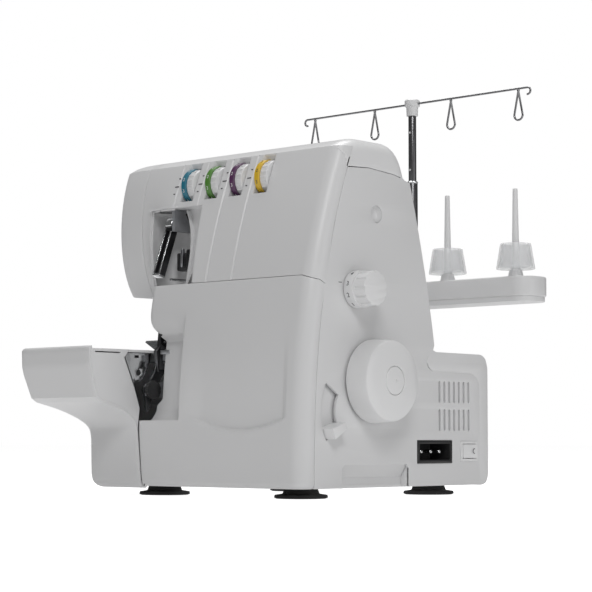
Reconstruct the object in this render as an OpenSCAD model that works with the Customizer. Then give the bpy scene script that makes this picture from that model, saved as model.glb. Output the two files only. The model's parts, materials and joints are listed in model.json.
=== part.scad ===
// Overlock sewing machine: cast frame, plastic covers, drive, needle and looper parts, thread stand.
// X runs to the right (handwheel side), Y to the back, Z up. The origin is on the table, midway
// between the four feet. All sizes are in millimetres.

/* [Body] */
// Distance from the middle of the feet to the right-hand face
right_x = 110; // [100:1:140]
// Distance from the middle of the feet to the left end of the head
head_left_x = 143; // [138:1:172]
// Distance from the middle of the feet to the front of the door
front_y = 114.6; // [110:0.5:130]
// Distance from the middle of the feet to the back of the motor bump
rear_y = 129; // [122:1:160]
// Height of the cloth plate above the table
bed_z = 124.5; // [120:0.5:150]
// Clear height between the cloth plate and the head
throat_h = 50; // [45:1:62]
// Height of the head, from its underside to the front edge of the top
head_h = 114; // [108:1:140]
// Rise of the top over its front edge
crest_h = 8.5; // [6:0.5:12]
// Wall thickness of the plastic covers
wall = 2.6; // [2.1:0.1:3.2]
// Gap between neighbouring covers
seam = 0.5; // [0.3:0.1:0.8]

/* [Feet] */
// Height of the rubber feet
foot_h = 8; // [6:0.5:10]
// Radius of the sucker disc of a foot
foot_r = 22; // [17:0.5:26]
// Radius of a foot's neck
foot_neck_r = 13.6; // [10:0.2:14.5]
// Sideways distance from the middle to a foot
foot_x = 80; // [76:1:84]
// Front-to-back distance from the middle to a foot
foot_y = 82.5; // [76:0.5:84]

/* [Left cover] */
// Distance from the middle to the right-hand end wall of the left cover
cover_right_x = 80; // [79:0.5:82]
// How far the left cover reaches left of its end wall
cover_len = 86; // [84:1:100]
// How far the cloth tray stands out in front of the door
tray_out = 53.4; // [44:0.1:64]
// Depth of the cloth tray's front wall
tray_h = 42; // [35:1:50]

/* [Door] */
// Height of the door's top edge above the cloth plate
door_over_bed = 55.5; // [50:0.5:60]
// How far the door slides right to unlatch
door_slide = 8; // [5:0.5:10]

/* [Drive] */
// Radius of the handwheel at its rim
wheel_r = 34.5; // [28:0.5:42]
// Thickness of the handwheel
wheel_w = 22; // [18:1:27]
// Radius of the main shaft
shaft_r = 6; // [5:0.25:7.5]
// Throw of the crank on the main shaft
crank_throw = 8; // [6:0.5:10]
// Radius of the pulley on the main shaft
pulley_r = 26; // [20:1:32]
// Radius of the motor's pulley
motor_pulley_r = 9; // [7:0.5:11]
// Radius of the motor
motor_r = 27; // [22:0.5:29]
// Radial clearance of every running fit
fit = 0.04; // [0.02:0.01:0.08]

/* [Controls] */
// Radius of the stitch-length knob
knob_r = 15.4; // [12:0.2:18.6]
// Length of the stitch-length knob
knob_len = 21; // [17:0.5:26]
// Radius of a thread-tension dial
dial_r = 16; // [13:0.5:16.3]
// Width of a thread-tension dial
dial_w = 13; // [11:0.5:15]
// Distance between neighbouring dials
dial_pitch = 29.3; // [27:0.1:31]

/* [Needle and presser] */
// Radius of the needle bar
needle_bar_r = 3.6; // [3:0.1:4.4]
// Radius of the presser bar
presser_bar_r = 4; // [3.4:0.1:4.8]

/* [Thread stand] */
// Distance from the column to an inner spool pin
pin_pitch = 45; // [40:1:50]
// Distance from the column to an outer spool pin
pin_reach = 120; // [105:1:144]
// Width of the spool tray, front to back
tray_w = 40; // [34:1:44]
// Height of the spool tray's top above the cloth plate
stand_rise = 59.5; // [54:0.5:68]
// Height of a spool pin above the tray
pin_h = 82; // [68:1:84]
// Largest radius of a cone adapter
cone_r = 16.8; // [14:0.2:19]
// Outer radius of the column's fixed tube
column_r = 4.7; // [4.4:0.1:5.8]
// Height of the guide wire above the tray
wire_rise = 171; // [165:1:190]

/* [Hidden] */
$fn = 64;
eps = 0.01;
far = 400;

// Heights worked out from the driving sizes
head_z = bed_z + throat_h;
shoulder_z = head_z + head_h;
crest_z = shoulder_z + crest_h;
door_z = bed_z + door_over_bed;
bump_z = bed_z - 3;
body_z = foot_h;
plate_t = 2.5;
frame_z = body_z + plate_t + 1.5;

// Side outline of the body, as (y, z) points
shoulder_y = -(front_y - 48.6);
slope_top_y = 21;
slope_foot_y = 55;
bump_round = 13;
heel_round = 10;
arc_n = 10;

function bezier(p, t) = p[0] * pow(1 - t, 3) + 3 * p[1] * t * pow(1 - t, 2)
    + 3 * p[2] * pow(t, 2) * (1 - t) + p[3] * pow(t, 3);
function curve(p, n) = [for (i = [0:n]) bezier(p, i / n)];
function arc(c, r, a, b, n = 8) = [for (i = [0:n]) let (t = a + (b - a) * i / n)
    c + r * [cos(t), sin(t)]];
function share_z(s) = body_z + s * (shoulder_z - body_z);
front_curve = [[-front_y, body_z], [-front_y - 0.4, share_z(0.36)],
    [-front_y + 7.6, share_z(0.65)], [shoulder_y, shoulder_z]];
brow_curve = [[shoulder_y, shoulder_z], [shoulder_y + 8, shoulder_z + 4.5],
    [shoulder_y + 16, crest_z], [shoulder_y + 28, crest_z]];
nape_curve = [[-9, crest_z], [8, crest_z], [16, crest_z - 12], [slope_top_y, crest_z - 30]];
slope_curve = [[slope_top_y, crest_z - 30], [34, crest_z - 72], [slope_foot_y - 6, bump_z + 42],
    [slope_foot_y, bump_z]];
outline = concat(
    curve(front_curve, 14),
    [for (i = [1:6]) bezier(brow_curve, i / 6)],
    curve(nape_curve, 6),
    [for (i = [1:8]) bezier(slope_curve, i / 8)],
    arc([rear_y - bump_round, bump_z - bump_round], bump_round, 90, 0),
    arc([rear_y - heel_round, body_z + heel_round], heel_round, 0, -90, 5));

// Moves every edge of a closed outline in by d, with mitred corners
function unit(v) = v / norm(v);
function in_normal(a, b) = let (u = unit(b - a)) [u[1], -u[0]];
function inset(p, d) = let (n = len(p)) [for (i = [0:n - 1])
    let (u = in_normal(p[(i + n - 1) % n], p[i]), v = in_normal(p[i], p[(i + 1) % n]))
    p[i] + d * (u + v) / (1 + u * v)];

// Front face at height z, by halving along the front curve
function front_t(z, a = 0, b = 1, k = 16) = k == 0 ? (a + b) / 2 :
    bezier(front_curve, (a + b) / 2)[1] < z ? front_t(z, (a + b) / 2, b, k - 1)
    : front_t(z, a, (a + b) / 2, k - 1);
function face_y(z) = bezier(front_curve, front_t(z))[0];

// Extrudes a side outline from x = a to x = b
module along_x(a, b) {
    translate([a, 0, 0]) rotate([90, 0, 90]) linear_extrude(b - a) children();
}
// Turns a part from the Z direction to the X or the Y direction
module lay_x(p) { translate(p) rotate([0, 90, 0]) children(); }
module lay_y(p) { translate(p) rotate([-90, 0, 0]) children(); }
module block(low, high) { translate(low) cube(high - low); }
module skin(a, b) {
    along_x(a, b) difference() {
        polygon(outline);
        polygon(inset(outline, wall));
    }
}
module end_plate(a, b) { along_x(a, b) polygon(outline); }
module region(a, b, p) { along_x(a, b) polygon(p); }
module ring(r_out, r_in, h) {
    difference() {
        cylinder(r = r_out, h = h);
        translate([0, 0, -1]) cylinder(r = r_in, h = h + 2);
    }
}

// Axes and places of the working parts, as (y, z) where the axis runs along X
shaft_y = -29.5;
shaft_z = bed_z - 29;
rocker_y = 4;
rocker_z = shoulder_z - 66;
rocker_r = 5;
motor_y = rear_y - 44;
motor_z = body_z + 53;
knob_y = -49.6;
knob_z = bed_z + 45.8;
needle_x = -90;
needle_y = -42;
presser_y = -20;
upright_l = -56;
upright_r = right_x - 22;
upright_t = 8;
bush_r = shaft_r + 4;
pulley_x = upright_r - 24;
pulley_w = 12;
guard_x = -31;
guard_left_x = -75;
guard_z = bed_z + 11.5;
window_left_x = -95;
window_right_x = -28;
window_top_z = shoulder_z - 39.5;
scoop_low_z = bed_z - 60.5;
scoop_y = -front_y + 15;
face_seam_x = -118;
dial_x = [for (i = [0:3]) -58 + dial_pitch * i];
dial_z = shoulder_z - 20.5;
dial_y = face_y(dial_z) + dial_r - 5;
slot_gap = 1;
dial_axle_r = 3;
disc_r = dial_r - 9.5;

take_up_y = -70;
take_up_z = rocker_z + 13;
knife_x = -79.3;
knife_y = -105;
knife_z = bed_z - 34.5;
knife_pin_r = 3;
knife_arm_t = 2.8;
knife_bracket_t = 2.6;
knife_gap = 0.3;
knife_knob_r = 8;
knife_knob_h = 3.4;
knife_knob_x = knife_x + knife_arm_t + knife_bracket_t + 2 * knife_gap;
looper_r = 4;
looper_axes = [[-72, bed_z - 54.5], [-66, bed_z - 84.5]];
hinge_r = 1.5;
knuckle_r = 3;
hinge_y = -front_y + wall + knuckle_r;
hinge_z = body_z + 5;
rod_lug_x = [-38, 60];

// Frame: base plate, two uprights, bed for the needle plate, arm and head lugs
upright_top_z = shoulder_z - 30;
lug_x0 = needle_x - 14;
lug_x1 = needle_x + 14;
lug_z = [head_z + 22, shoulder_z - 40];
lug_t = 10;
bed_flange_z = bed_z - 9;
plate_thick = 3.5;
module upright(x) {
    along_x(x, x + upright_t) polygon([[-62, frame_z], [26, frame_z], [26, bed_z],
        [18, upright_top_z], [-34, upright_top_z], [-46, door_z - 8], [-62, bed_z - 30]]);
}
module knife_slot() { block([knife_x - 1.5, -96, bed_flange_z - 1], [knife_x + 6, -36, bed_z + 1]); }
module base_frame() {
    color([0.62, 0.64, 0.66]) difference() {
        union() {
            block([-112, -84, frame_z], [upright_r + upright_t, rear_y - 36, frame_z + 8]);
            upright(upright_l);
            upright(upright_r);
            block([upright_l, 0, upright_top_z - 12], [upright_r + 1, 18, upright_top_z]);
            block([-120, 26, frame_z], [upright_l + 1, 34, bed_z - plate_thick]);
            block([-120, -92, bed_flange_z], [upright_l + 1, 34, bed_z - plate_thick]);
            block([lug_x0 - 6, 14, head_z + 18], [upright_l + 1, 20, upright_top_z - 8]);
            for (z = lug_z) block([lug_x0, needle_y - 10, z], [lug_x1, 15, z + lug_t]);
            block([lug_x0 - 6, rocker_y - 12, rocker_z - 12], [lug_x0 + 1, 15, rocker_z + 12]);
            block([lug_x1 - 3, take_up_y - 6, take_up_z - 6], [lug_x1, needle_y, lug_z[1]]);
            block([lug_x1 - 3, -54, take_up_z], [lug_x1, needle_y, lug_z[1] + 2]);
            lay_x([lug_x1 - 16, take_up_y, take_up_z]) cylinder(r = 2, h = 15);
            for (x = [dial_x[0] - 12, dial_x[3] + 12]) {
                lay_x([x, dial_y, dial_z]) cylinder(r = 5, h = 4);
                along_x(x, x + 4) polygon([[dial_y, dial_z - 5], [0, upright_top_z - 13],
                    [16, upright_top_z - 13], [16, upright_top_z - 9], [2, upright_top_z - 3],
                    [dial_y, dial_z + 5]]);
            }
            for (x = rod_lug_x) {
                block([x, hinge_y, frame_z], [x + 8, -83, frame_z + 5]);
                lay_x([x, hinge_y, hinge_z]) cylinder(r = knuckle_r - 0.4, h = 8);
            }
            block([pivot_x, pivot_y - 3, bed_z - 27.7], [-119, 34, bed_z - 16.3]);
            translate([pivot_x, pivot_y, bed_z - 42]) cylinder(r = 3, h = 39);
            along_x(knife_x + knife_arm_t + knife_gap, knife_knob_x - knife_gap)
                polygon([[-80, frame_z], [-66, frame_z], [-66, knife_z + 10],
                    [knife_y - 5, knife_z + 5], [knife_y - 5, knife_z - 5], [-80, knife_z - 7]]);
            block([knife_x + 2, -72, bed_z - 27], [upright_l + 1, -58, bed_z - 18]);
            block([lifter_x + 5.2, 18, lifter_z - 6], [lifter_x + 7.8, lifter_y + 4, lifter_z + 6]);
            lay_x([lifter_x - 6, lifter_y, lifter_z]) cylinder(r = lifter_r, h = 12);
            lay_x([upright_r + upright_t - 1, lever_y, lever_z])
                cylinder(r = lever_pin_r, h = right_x - 5.5 - upright_r - upright_t + 1);
        }
        for (x = rod_lug_x) lay_x([x - 1, hinge_y, hinge_z])
            cylinder(r = hinge_r + fit, h = 10);
        for (p = looper_axes) lay_y([p[0], 25, p[1]]) cylinder(r = looper_r + fit, h = 10);
        lay_x([knife_x + knife_arm_t, knife_y, knife_z])
            cylinder(r = knife_pin_r + fit, h = knife_bracket_t + 2 * knife_gap);
        lay_x([dial_x[0] - 13, dial_y, dial_z]) cylinder(r = dial_axle_r, h = far / 2);

        block([-112, -84, bed_flange_z - 1], [-66, 22, bed_z]);
        block([-64, -93, bed_flange_z - 1], [upright_l + 2, -82, bed_z]);
        knife_slot();
        lay_x([upright_l - 1, shaft_y, shaft_z]) cylinder(r = bush_r, h = upright_t + 2);
        lay_x([upright_r - 1, shaft_y, shaft_z]) cylinder(r = bush_r, h = upright_t + 2);
        lay_x([lug_x0 - 7, rocker_y, rocker_z]) cylinder(r = rocker_r + fit, h = 9);
        lay_x([upright_l - 1, rocker_y, rocker_z])
            cylinder(r = rocker_r + fit, h = upright_t + 2);
        translate([needle_x, needle_y, head_z]) cylinder(r = needle_bar_r + fit, h = head_h);
        translate([needle_x, presser_y, head_z]) cylinder(r = presser_bar_r + fit, h = head_h);
    }
}

// Base plate and feet
screw_r = 2;
notch_y = [-66, 19];
notch_z = body_z + 19;
module bottom_cover() {
    color([0.9, 0.9, 0.9]) difference() {
        union() {
            block([-124, -88, body_z], [right_x - 8, rear_y - 14, body_z + plate_t]);
            for (x = [-foot_x, foot_x], y = [-foot_y, foot_y])
                translate([x, y, body_z + plate_t - eps]) cylinder(r = 9, h = 1.5 + eps);
            block([right_x - 11.5, notch_y[0], body_z], [right_x - 9, notch_y[1], notch_z + 2]);
        }
        for (x = [-foot_x, foot_x], y = [-foot_y, foot_y])
            translate([x, y, 0]) cylinder(r = screw_r, h = 30);
        for (i = [0:9]) block([-36 + 8 * i, 56, 0], [-33 + 8 * i, 92, 30]);
    }
}
module foot() {
    rotate_extrude() polygon([[screw_r, 1.2], [foot_r - 9, 1.2], [foot_r - 8, 0], [foot_r - 2, 0],
        [foot_r, 0.8], [foot_r - 0.5, 3],
        [foot_neck_r + 1.5, 4], [foot_neck_r, foot_h], [screw_r, foot_h]]);
}
module feet() {
    color([0.08, 0.08, 0.08]) for (x = [-foot_x, foot_x], y = [-foot_y, foot_y])
        translate([x, y, 0]) foot();
}
module base_screws() {
    color([0.75, 0.75, 0.78]) for (x = [-foot_x, foot_x], y = [-foot_y, foot_y])
        translate([x, y, 3]) cylinder(r = screw_r, h = frame_z - 3);
}

// Front door: panel, scooped left part, guard block; it turns on a rod that slides in the base
door_x1 = right_x;
wrap_y = 15;
hinge_x = [-60, 84];
hinge_w = 10;
scoop_left_x = -67;
module door_hull(a, b, z0, z1) {
    intersection() {
        skin(a, b);
        region(a - 1, b + 1, [[-far, z0], [-front_y + 5, z0], [face_y(z1) + 6, z1], [-far, z1]]);
    }
}
module door_end(a, b, z0, z1) {
    intersection() {
        end_plate(a, b);
        region(a - 1, b + 1, [[-far, z0], [-front_y + wrap_y - 3, z0], [-front_y + wrap_y, z0 + 7],
            [face_y(z1) + wrap_y, z1], [-far, z1]]);
    }
}
module front_door() {
    top = door_z - seam / 2;
    color([0.88, 0.88, 0.89]) difference() {
        union() {
            door_hull(guard_x - wall, door_x1, body_z, top);
            door_end(door_x1 - wall, door_x1, body_z, top);
            door_hull(-cover_right_x + seam, guard_x, body_z, scoop_low_z);
            door_end(-cover_right_x + seam, -cover_right_x + seam + wall, body_z, scoop_low_z);
            intersection() {
                end_plate(-cover_right_x + seam, guard_x);
                block([-far, -far, scoop_low_z - wall], [far, scoop_y + wall, scoop_low_z]);
            }
            block([scoop_left_x, scoop_y, scoop_low_z - wall],
                [guard_x, scoop_y + wall, guard_z + wall]);
            intersection() {
                end_plate(guard_x - wall, guard_x);
                block([-far, -far, scoop_low_z - wall], [far, scoop_y + wall, top]);
            }
            door_hull(guard_left_x, guard_x, guard_z, bed_z + 46);
            intersection() {
                end_plate(guard_left_x, guard_x);
                block([-far, -far, guard_z], [far, scoop_y + wall, guard_z + wall]);
            }
            intersection() {
                end_plate(guard_left_x, guard_left_x + wall);
                block([-far, -far, guard_z], [far, scoop_y + wall, bed_z + 46]);
            }
            for (x = hinge_x) {
                lay_x([x, hinge_y, hinge_z]) cylinder(r = knuckle_r, h = hinge_w);
                block([x, -front_y + 1, hinge_z - 3], [x + hinge_w, hinge_y, hinge_z + 3]);
            }
        }
        for (x = rod_lug_x) block([x - door_slide - 1, -front_y + wall, 0], [x + 9, far,
            hinge_z + 9]);
        for (x = hinge_x) lay_x([x - 1, hinge_y, hinge_z])
            cylinder(r = hinge_r + fit, h = hinge_w + 2);
    }
}
module door_hinge_rod() {
    color([0.7, 0.7, 0.72]) lay_x([hinge_x[0] - 6, hinge_y, hinge_z])
        cylinder(r = hinge_r, h = hinge_x[1] - hinge_x[0] + hinge_w + 8);
}

// Left cover: cloth tray over a column, hinged on an upright pin behind
cover_x0 = -cover_right_x - cover_len;
column_x = cover_x0 + 28;
cover_low_z = body_z + plate_t + 0.5;
tray_front_y = -front_y - tray_out;
tray_low_z = bed_z - tray_h;
neck_z = bed_z - 64;
pivot_x = cover_x0 + 16;
pivot_y = 20;
cover_rear_y = pivot_y - 4;
tray_side = concat([[tray_front_y, bed_z], [tray_front_y + 0.5, bed_z - 14]],
    curve([[tray_front_y + 8.5, tray_low_z], [tray_front_y + 30, tray_low_z - 5],
        [-front_y - 2, tray_low_z - 10], [-front_y, neck_z]], 8),
    [[-front_y, cover_low_z], [cover_rear_y, cover_low_z], [cover_rear_y, bed_z]]);
front_left = [[cover_x0, bed_z], [cover_x0 + 3.3, bed_z - 50], [column_x - 6, neck_z - 2],
    [column_x, neck_z - 14], [column_x + 5, cover_low_z]];
front_view = concat(front_left, [[-cover_right_x, cover_low_z], [-cover_right_x, bed_z]]);
module along_y(a, b) { translate([0, b, 0]) rotate([90, 0, 0]) linear_extrude(b - a) children(); }
module cover_solid(d) {
    intersection() {
        along_x(cover_x0 - 1, -cover_right_x) polygon(inset(tray_side, -d));
        along_y(tray_front_y - 1, cover_rear_y + 1)
            polygon(inset(front_view, -d));
    }
}
module left_cover() {
    color([0.88, 0.88, 0.89]) difference() {
        union() {
            difference() {
                cover_solid(0);
                cover_solid(wall);
                block([-124.5, -95.5, bed_z - wall - 1], [far, far, bed_z + 1]);
                region(-cover_right_x - wall - 1, -cover_right_x + 1, [[-far / 2 + 70, bed_z - 42],
                    [-front_y + 4, bed_z - 52], [-front_y + 4, body_z], [far, body_z],
                    [far, bed_z + 1], [-front_y - 10, bed_z + 1], [-front_y - 16, bed_z - 7],
                    [-front_y - 4, bed_z - 33], [-front_y + 2, bed_z - 50]]);
                block([cover_x0 + 24, cover_rear_y - wall - 1, 0], [far, far, bed_z + 1]);
                block([column_x + 8, -front_y + wall, 0], [far, far, cover_low_z + wall + 1]);
            }
            translate([pivot_x, pivot_y, bed_z - 40]) cylinder(r = 6, h = 12);
            translate([pivot_x, pivot_y, bed_z - 16]) cylinder(r = 6, h = 12);
            for (z = [bed_z - 40, bed_z - 16])
                block([cover_x0 + 1, pivot_y - 10, z], [pivot_x, pivot_y - 1, z + 12]);
        }
        translate([pivot_x, pivot_y, 0]) cylinder(r = 3 + fit, h = bed_z + 1);
    }
}

// Head: the rounded end of the arm over the cloth plate
head_front = curve([[-60, head_z], [-77, head_z + 22], [-82, head_z + 72],
    [shoulder_y, shoulder_z]], 8);
head_mask = concat(head_front, [[shoulder_y, far], [far, far], [far, head_z]]);
module head_2d(d) {
    intersection() {
        polygon(inset(outline, d));
        translate([d, d]) polygon(head_mask);
    }
}
module head_skin(a, b) {
    along_x(a, b) difference() {
        head_2d(0);
        head_2d(wall);
    }
}
bar_hole = [[needle_x - 13, -58], [needle_x + 13, -6]];
module bar_opening() {
    block([bar_hole[0][0], bar_hole[0][1], head_z - 1], [bar_hole[1][0], bar_hole[1][1],
        head_z + wall + 1]);
}
cap_seam = [[shoulder_y + 4, shoulder_z - 17.5], [shoulder_y + 34, shoulder_z - 16],
    [slope_top_y - 20, shoulder_z - 18.5], [slope_top_y + 8, shoulder_z - 24]];
module cap_region(a, b) {
    region(a, b, concat([[shoulder_y, far], [shoulder_y, shoulder_z - 6],
        [shoulder_y + 3, shoulder_z - 17.5]], cap_seam, [[slope_top_y + 8, far]]));
}
module face_cover() {
    color([0.88, 0.88, 0.89]) difference() {
        union() {
            head_skin(-head_left_x, face_seam_x);
            along_x(-head_left_x, -head_left_x + wall) head_2d(0);
        }
        cap_region(face_seam_x - eps, face_seam_x + 1);
    }
}

// Upper front cover: dial panel, window over the needle area and the head's front
window_back_y = -56;
front_x0 = face_seam_x + seam;
module front_band(a, b, z0, z1) {
    intersection() {
        skin(a, b);
        block([a - 1, -far, z0], [b + 1, -30, z1]);
        region(a - 1, b + 1, [[-far, 0], [-far, far], [shoulder_y, far],
            [shoulder_y - 1, shoulder_z - 8], [0, 0]]);
    }
}
module dial_slots() {
    for (x = dial_x) lay_x([x - dial_w / 2 - slot_gap, dial_y, dial_z])
        cylinder(r = dial_r + slot_gap, h = dial_w + 2 * slot_gap);
}
module front_cover() {
    low = door_z + seam / 2;
    color([0.88, 0.88, 0.89]) difference() {
        union() {
            front_band(window_right_x, right_x, low, far);
            front_band(window_left_x, window_right_x, window_top_z, far);
            intersection() {
                head_skin(front_x0, window_left_x);
                region(front_x0 - 1, window_left_x + 1, [[-far, 0], [-far, far],
                    [shoulder_y, far], [shoulder_y, head_z + 40], [10, head_z + 5], [10, 0]]);
            }
            intersection() {
                end_plate(right_x - wall, right_x);
                region(right_x - far, right_x + 1, [[-far, low], [face_y(low) + wrap_y, low],
                    [shoulder_y + 3, shoulder_z - 17.5], [shoulder_y, shoulder_z - 6],
                    [shoulder_y, far], [-far, far]]);
            }
            for (w = [[window_left_x - wall, head_z], [window_right_x, low]]) intersection() {
                end_plate(w[0], w[0] + wall);
                block([-far, -far, w[1]], [far, window_back_y, window_top_z + wall]);
            }
            intersection() {
                end_plate(window_left_x, window_right_x);
                block([-far, -far, window_top_z], [far, window_back_y, window_top_z + wall]);
            }
        }
        bar_opening();
        dial_slots();
    }
}
module top_cover() {
    color([0.9, 0.9, 0.91]) difference() {
        intersection() {
            union() {
                skin(front_x0, right_x);
                end_plate(right_x - wall, right_x);
            }
            translate([0, seam / 2, seam / 2]) cap_region(front_x0 - 1, right_x + 1);
        }
        dial_slots();
    }
}

// Right side cover with its openings
vent_y = [for (i = [0:6]) 61 + 6.2 * i];
vent_z = [body_z + 47, body_z + 71];
vent_w = 3.4;
vent_h = 18.4;
socket_y = [30, 77.4];
socket_z = [body_z + 19.3, body_z + 39];
switch_y = [89.5, 112.5];
switch_z = [body_z + 21, body_z + 38];
lever_y = -48;
lever_z = bed_z - 54.5;
lever_pin_r = 3;
lever_in = 27;
lever_out = 43;
panel_hole = [-22.2, bed_z + 110];
panel_hole_r = 7.2;
module sector(r0, r1, a0, a1, h) {
    rotate([0, 0, a0]) rotate_extrude(angle = a1 - a0) translate([r0, 0]) square([r1 - r0, h]);
}
module on_right(p, x) { translate([x, p[0], p[1]]) rotate([90, 0, 90]) children(); }
module right_cover() {
    rear = [[-front_y + wrap_y + seam, body_z - 1], [face_y(door_z) + wrap_y + seam, door_z],
        [shoulder_y + 3 + seam, shoulder_z - 17.5 - seam], [shoulder_y + 34, shoulder_z - 16 - seam],
        [slope_top_y - 20, shoulder_z - 18.5 - seam], [slope_top_y + 8, shoulder_z - 24 - seam],
        [far, shoulder_z - 24 - seam], [far, bed_z - 10], [slope_foot_y - 13, bed_z - 10],
        [slope_foot_y - 4, bed_z - 18.6],
        [rear_y - 24, bed_z - 18.6], [rear_y - 17, bed_z - 24], [rear_y - 14, body_z - 1]];
    color([0.92, 0.92, 0.93]) difference() {
        intersection() {
            end_plate(right_x - wall, right_x);
            region(right_x - far, right_x + 1, rear);
        }
        lay_x([right_x - 10, shaft_y, shaft_z]) cylinder(r = shaft_r + 3, h = 20);
        lay_x([right_x - 10, knob_y, knob_z]) cylinder(r = 5, h = 20);
        on_right(panel_hole, right_x - 10) cylinder(r = panel_hole_r, h = 20);
        for (y = vent_y, z = vent_z)
            block([right_x - 10, y, z], [right_x + 1, y + vent_w, z + vent_h]);
        block([right_x - 10, socket_y[0], socket_z[0]], [right_x + 1, socket_y[1], socket_z[1]]);
        block([right_x - 10, switch_y[0], switch_z[0]], [right_x + 1, switch_y[1], switch_z[1]]);
        on_right([lever_y, lever_z], right_x - 10) sector(lever_in - 1, lever_out + 1, 148, 212, 20);
        block([right_x - 10, notch_y[0], 0], [right_x + 1, notch_y[1], notch_z]);
    }
}

// Rear cover: slope, motor bump, throat wall and the deck behind the left cover
deck_x0 = -138;
throat_x = -62;
throat_front_y = -84;
module rear_cover() {
    slope_zone = [[slope_top_y - 20, shoulder_z - 18.5 - seam], [slope_top_y + 8,
        shoulder_z - 24 - seam], [far, shoulder_z - 24 - seam], [far, bed_z - 10.5],
        [slope_foot_y - 12.5, bed_z - 10.5], [slope_foot_y - 24, bed_z + 10]];
    bump_zone = [[slope_foot_y - 12.5, bed_z - 10.5],
        [slope_foot_y - 3.6, bed_z - 18.1], [rear_y - 23.6, bed_z - 18.1],
        [rear_y - 16.4, bed_z - 23.5], [rear_y - 13.4, body_z + plate_t + 1],
        [rear_y - 13.4, body_z - 1], [far, body_z - 1], [far, bed_z - 10.5]];
    color([0.9, 0.9, 0.91]) difference() {
        union() {
            intersection() {
                skin(throat_x, right_x - wall);
                region(throat_x - 1, right_x, slope_zone);
            }
            intersection() {
                union() {
                    skin(throat_x, right_x);
                    end_plate(right_x - wall, right_x);
                }
                region(throat_x - 1, right_x + 1, bump_zone);
            }
            intersection() {
                skin(front_x0, throat_x + 1);
                region(front_x0 - 1, throat_x + 2, slope_zone);
                block([-far, -far, head_z + wall + seam], [far, far, far]);
            }
            intersection() {
                end_plate(throat_x, throat_x + wall);
                block([-far, throat_front_y, bed_z + 1], [far, far, head_z]);
            }
            intersection() {
                union() {
                    skin(deck_x0, throat_x);
                    end_plate(deck_x0, deck_x0 + wall);
                }
                block([-far, 36, body_z + plate_t + 1], [far, far, bump_z + eps]);
            }
            block([deck_x0, 34.5, bump_z - wall], [throat_x, slope_foot_y + 5, bump_z]);
            block([deck_x0, cover_rear_y + seam, body_z + plate_t + 1],
                [deck_x0 + wall, 37, bed_z - 30]);
        }
        block([lifter_x - 8, 0, lifter_z - 22], [lifter_x + 8, far, lifter_z + 24]);
        for (i = [0:11]) block([-30 + 8 * i, rear_y - 10, body_z + 40],
            [-26 + 8 * i, rear_y + 1, body_z + 70]);
    }
}

// Drive: crankshaft with handwheel and pulley, motor with its pulley, belt, connecting rod
crank_x = -38;
web_t = 4;
pin_w = 10;
pin_r = 4;
shaft_x0 = -64;
module main_shaft() {
    x1 = crank_x + web_t;
    x2 = x1 + pin_w;
    color([0.72, 0.73, 0.75]) union() {
        lay_x([shaft_x0, shaft_y, shaft_z]) cylinder(r = shaft_r, h = crank_x - shaft_x0 + eps);
        for (x = [crank_x, x2]) lay_x([x, shaft_y, shaft_z])
            cylinder(r = crank_throw + pin_r + 3, h = web_t);
        lay_x([x1 - eps, shaft_y, shaft_z + crank_throw]) cylinder(r = pin_r, h = pin_w + 2 * eps);
        lay_x([x2 + web_t - eps, shaft_y, shaft_z])
            cylinder(r = shaft_r, h = right_x + wheel_w - 4 - x2 - web_t);
    }
}
module needle_rod() {
    x = crank_x + web_t + 0.5;
    w = pin_w - 1;
    rod_top = rocker_z - 30;
    color([0.55, 0.57, 0.6]) difference() {
        union() {
            lay_x([x, shaft_y, shaft_z + crank_throw]) cylinder(r = pin_r + 4, h = w);
            block([x + 2, shaft_y - 3.5, shaft_z + crank_throw], [x + w - 2, shaft_y + 3.5, rod_top]);
            lay_x([x, shaft_y, rod_top]) cylinder(r = 7, h = w);
        }
        lay_x([x - 1, shaft_y, shaft_z + crank_throw]) cylinder(r = pin_r + fit, h = w + 2);
        lay_x([x - 1, shaft_y, rod_top]) cylinder(r = 3.5, h = w + 2);
    }
}
module shaft_bushes() {
    color([0.78, 0.62, 0.3]) for (x = [upright_l, upright_r])
        lay_x([x, shaft_y, shaft_z]) ring(bush_r, shaft_r + fit, upright_t);
}
module shaft_pulley() {
    color([0.2, 0.2, 0.22]) lay_x([pulley_x, shaft_y, shaft_z]) difference() {
        union() {
            cylinder(r = pulley_r, h = pulley_w);
            for (z = [-1.5, pulley_w]) translate([0, 0, z]) cylinder(r = pulley_r + 2, h = 1.5);
        }
        translate([0, 0, -2]) cylinder(r = shaft_r, h = pulley_w + 4);
        for (a = [0:60:300]) rotate([0, 0, a]) translate([pulley_r * 0.62, 0, -2])
            cylinder(r = pulley_r * 0.16, h = pulley_w + 4);
    }
}
module handwheel() {
    x = right_x + 2;
    color([0.9, 0.9, 0.9]) lay_x([x, shaft_y, shaft_z]) difference() {
        rotate_extrude() polygon(concat([[0, 3], [wheel_r - 8, 3], [wheel_r - 5, 0],
            [wheel_r - 0.6, 0], [wheel_r, 1.5], [wheel_r - 2, wheel_w - 2.5],
            [wheel_r - 4, wheel_w]], [[wheel_r - 8, wheel_w + 1.5],
            [wheel_r - 16, wheel_w + 3.6], [cap_r, wheel_w + 4.6], [cap_r, wheel_w - 4],
            [0, wheel_w - 4]]));
        translate([0, 0, -1]) cylinder(r = shaft_r, h = wheel_w - 5);
    }
}
cap_r = 12;
module handwheel_cap() {
    color([0.9, 0.9, 0.9]) lay_x([right_x + 2 + wheel_w - 4, shaft_y, shaft_z])
        rotate_extrude() polygon([[0, 0], [cap_r - 0.3, 0], [cap_r - 0.3, 8.3],
            [cap_r - 2, 9], [2.2, 9.4], [2, 8.8], [0, 8.8]]);
}
belt_t = 1.8;
belt_gap = 0.3;
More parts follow.
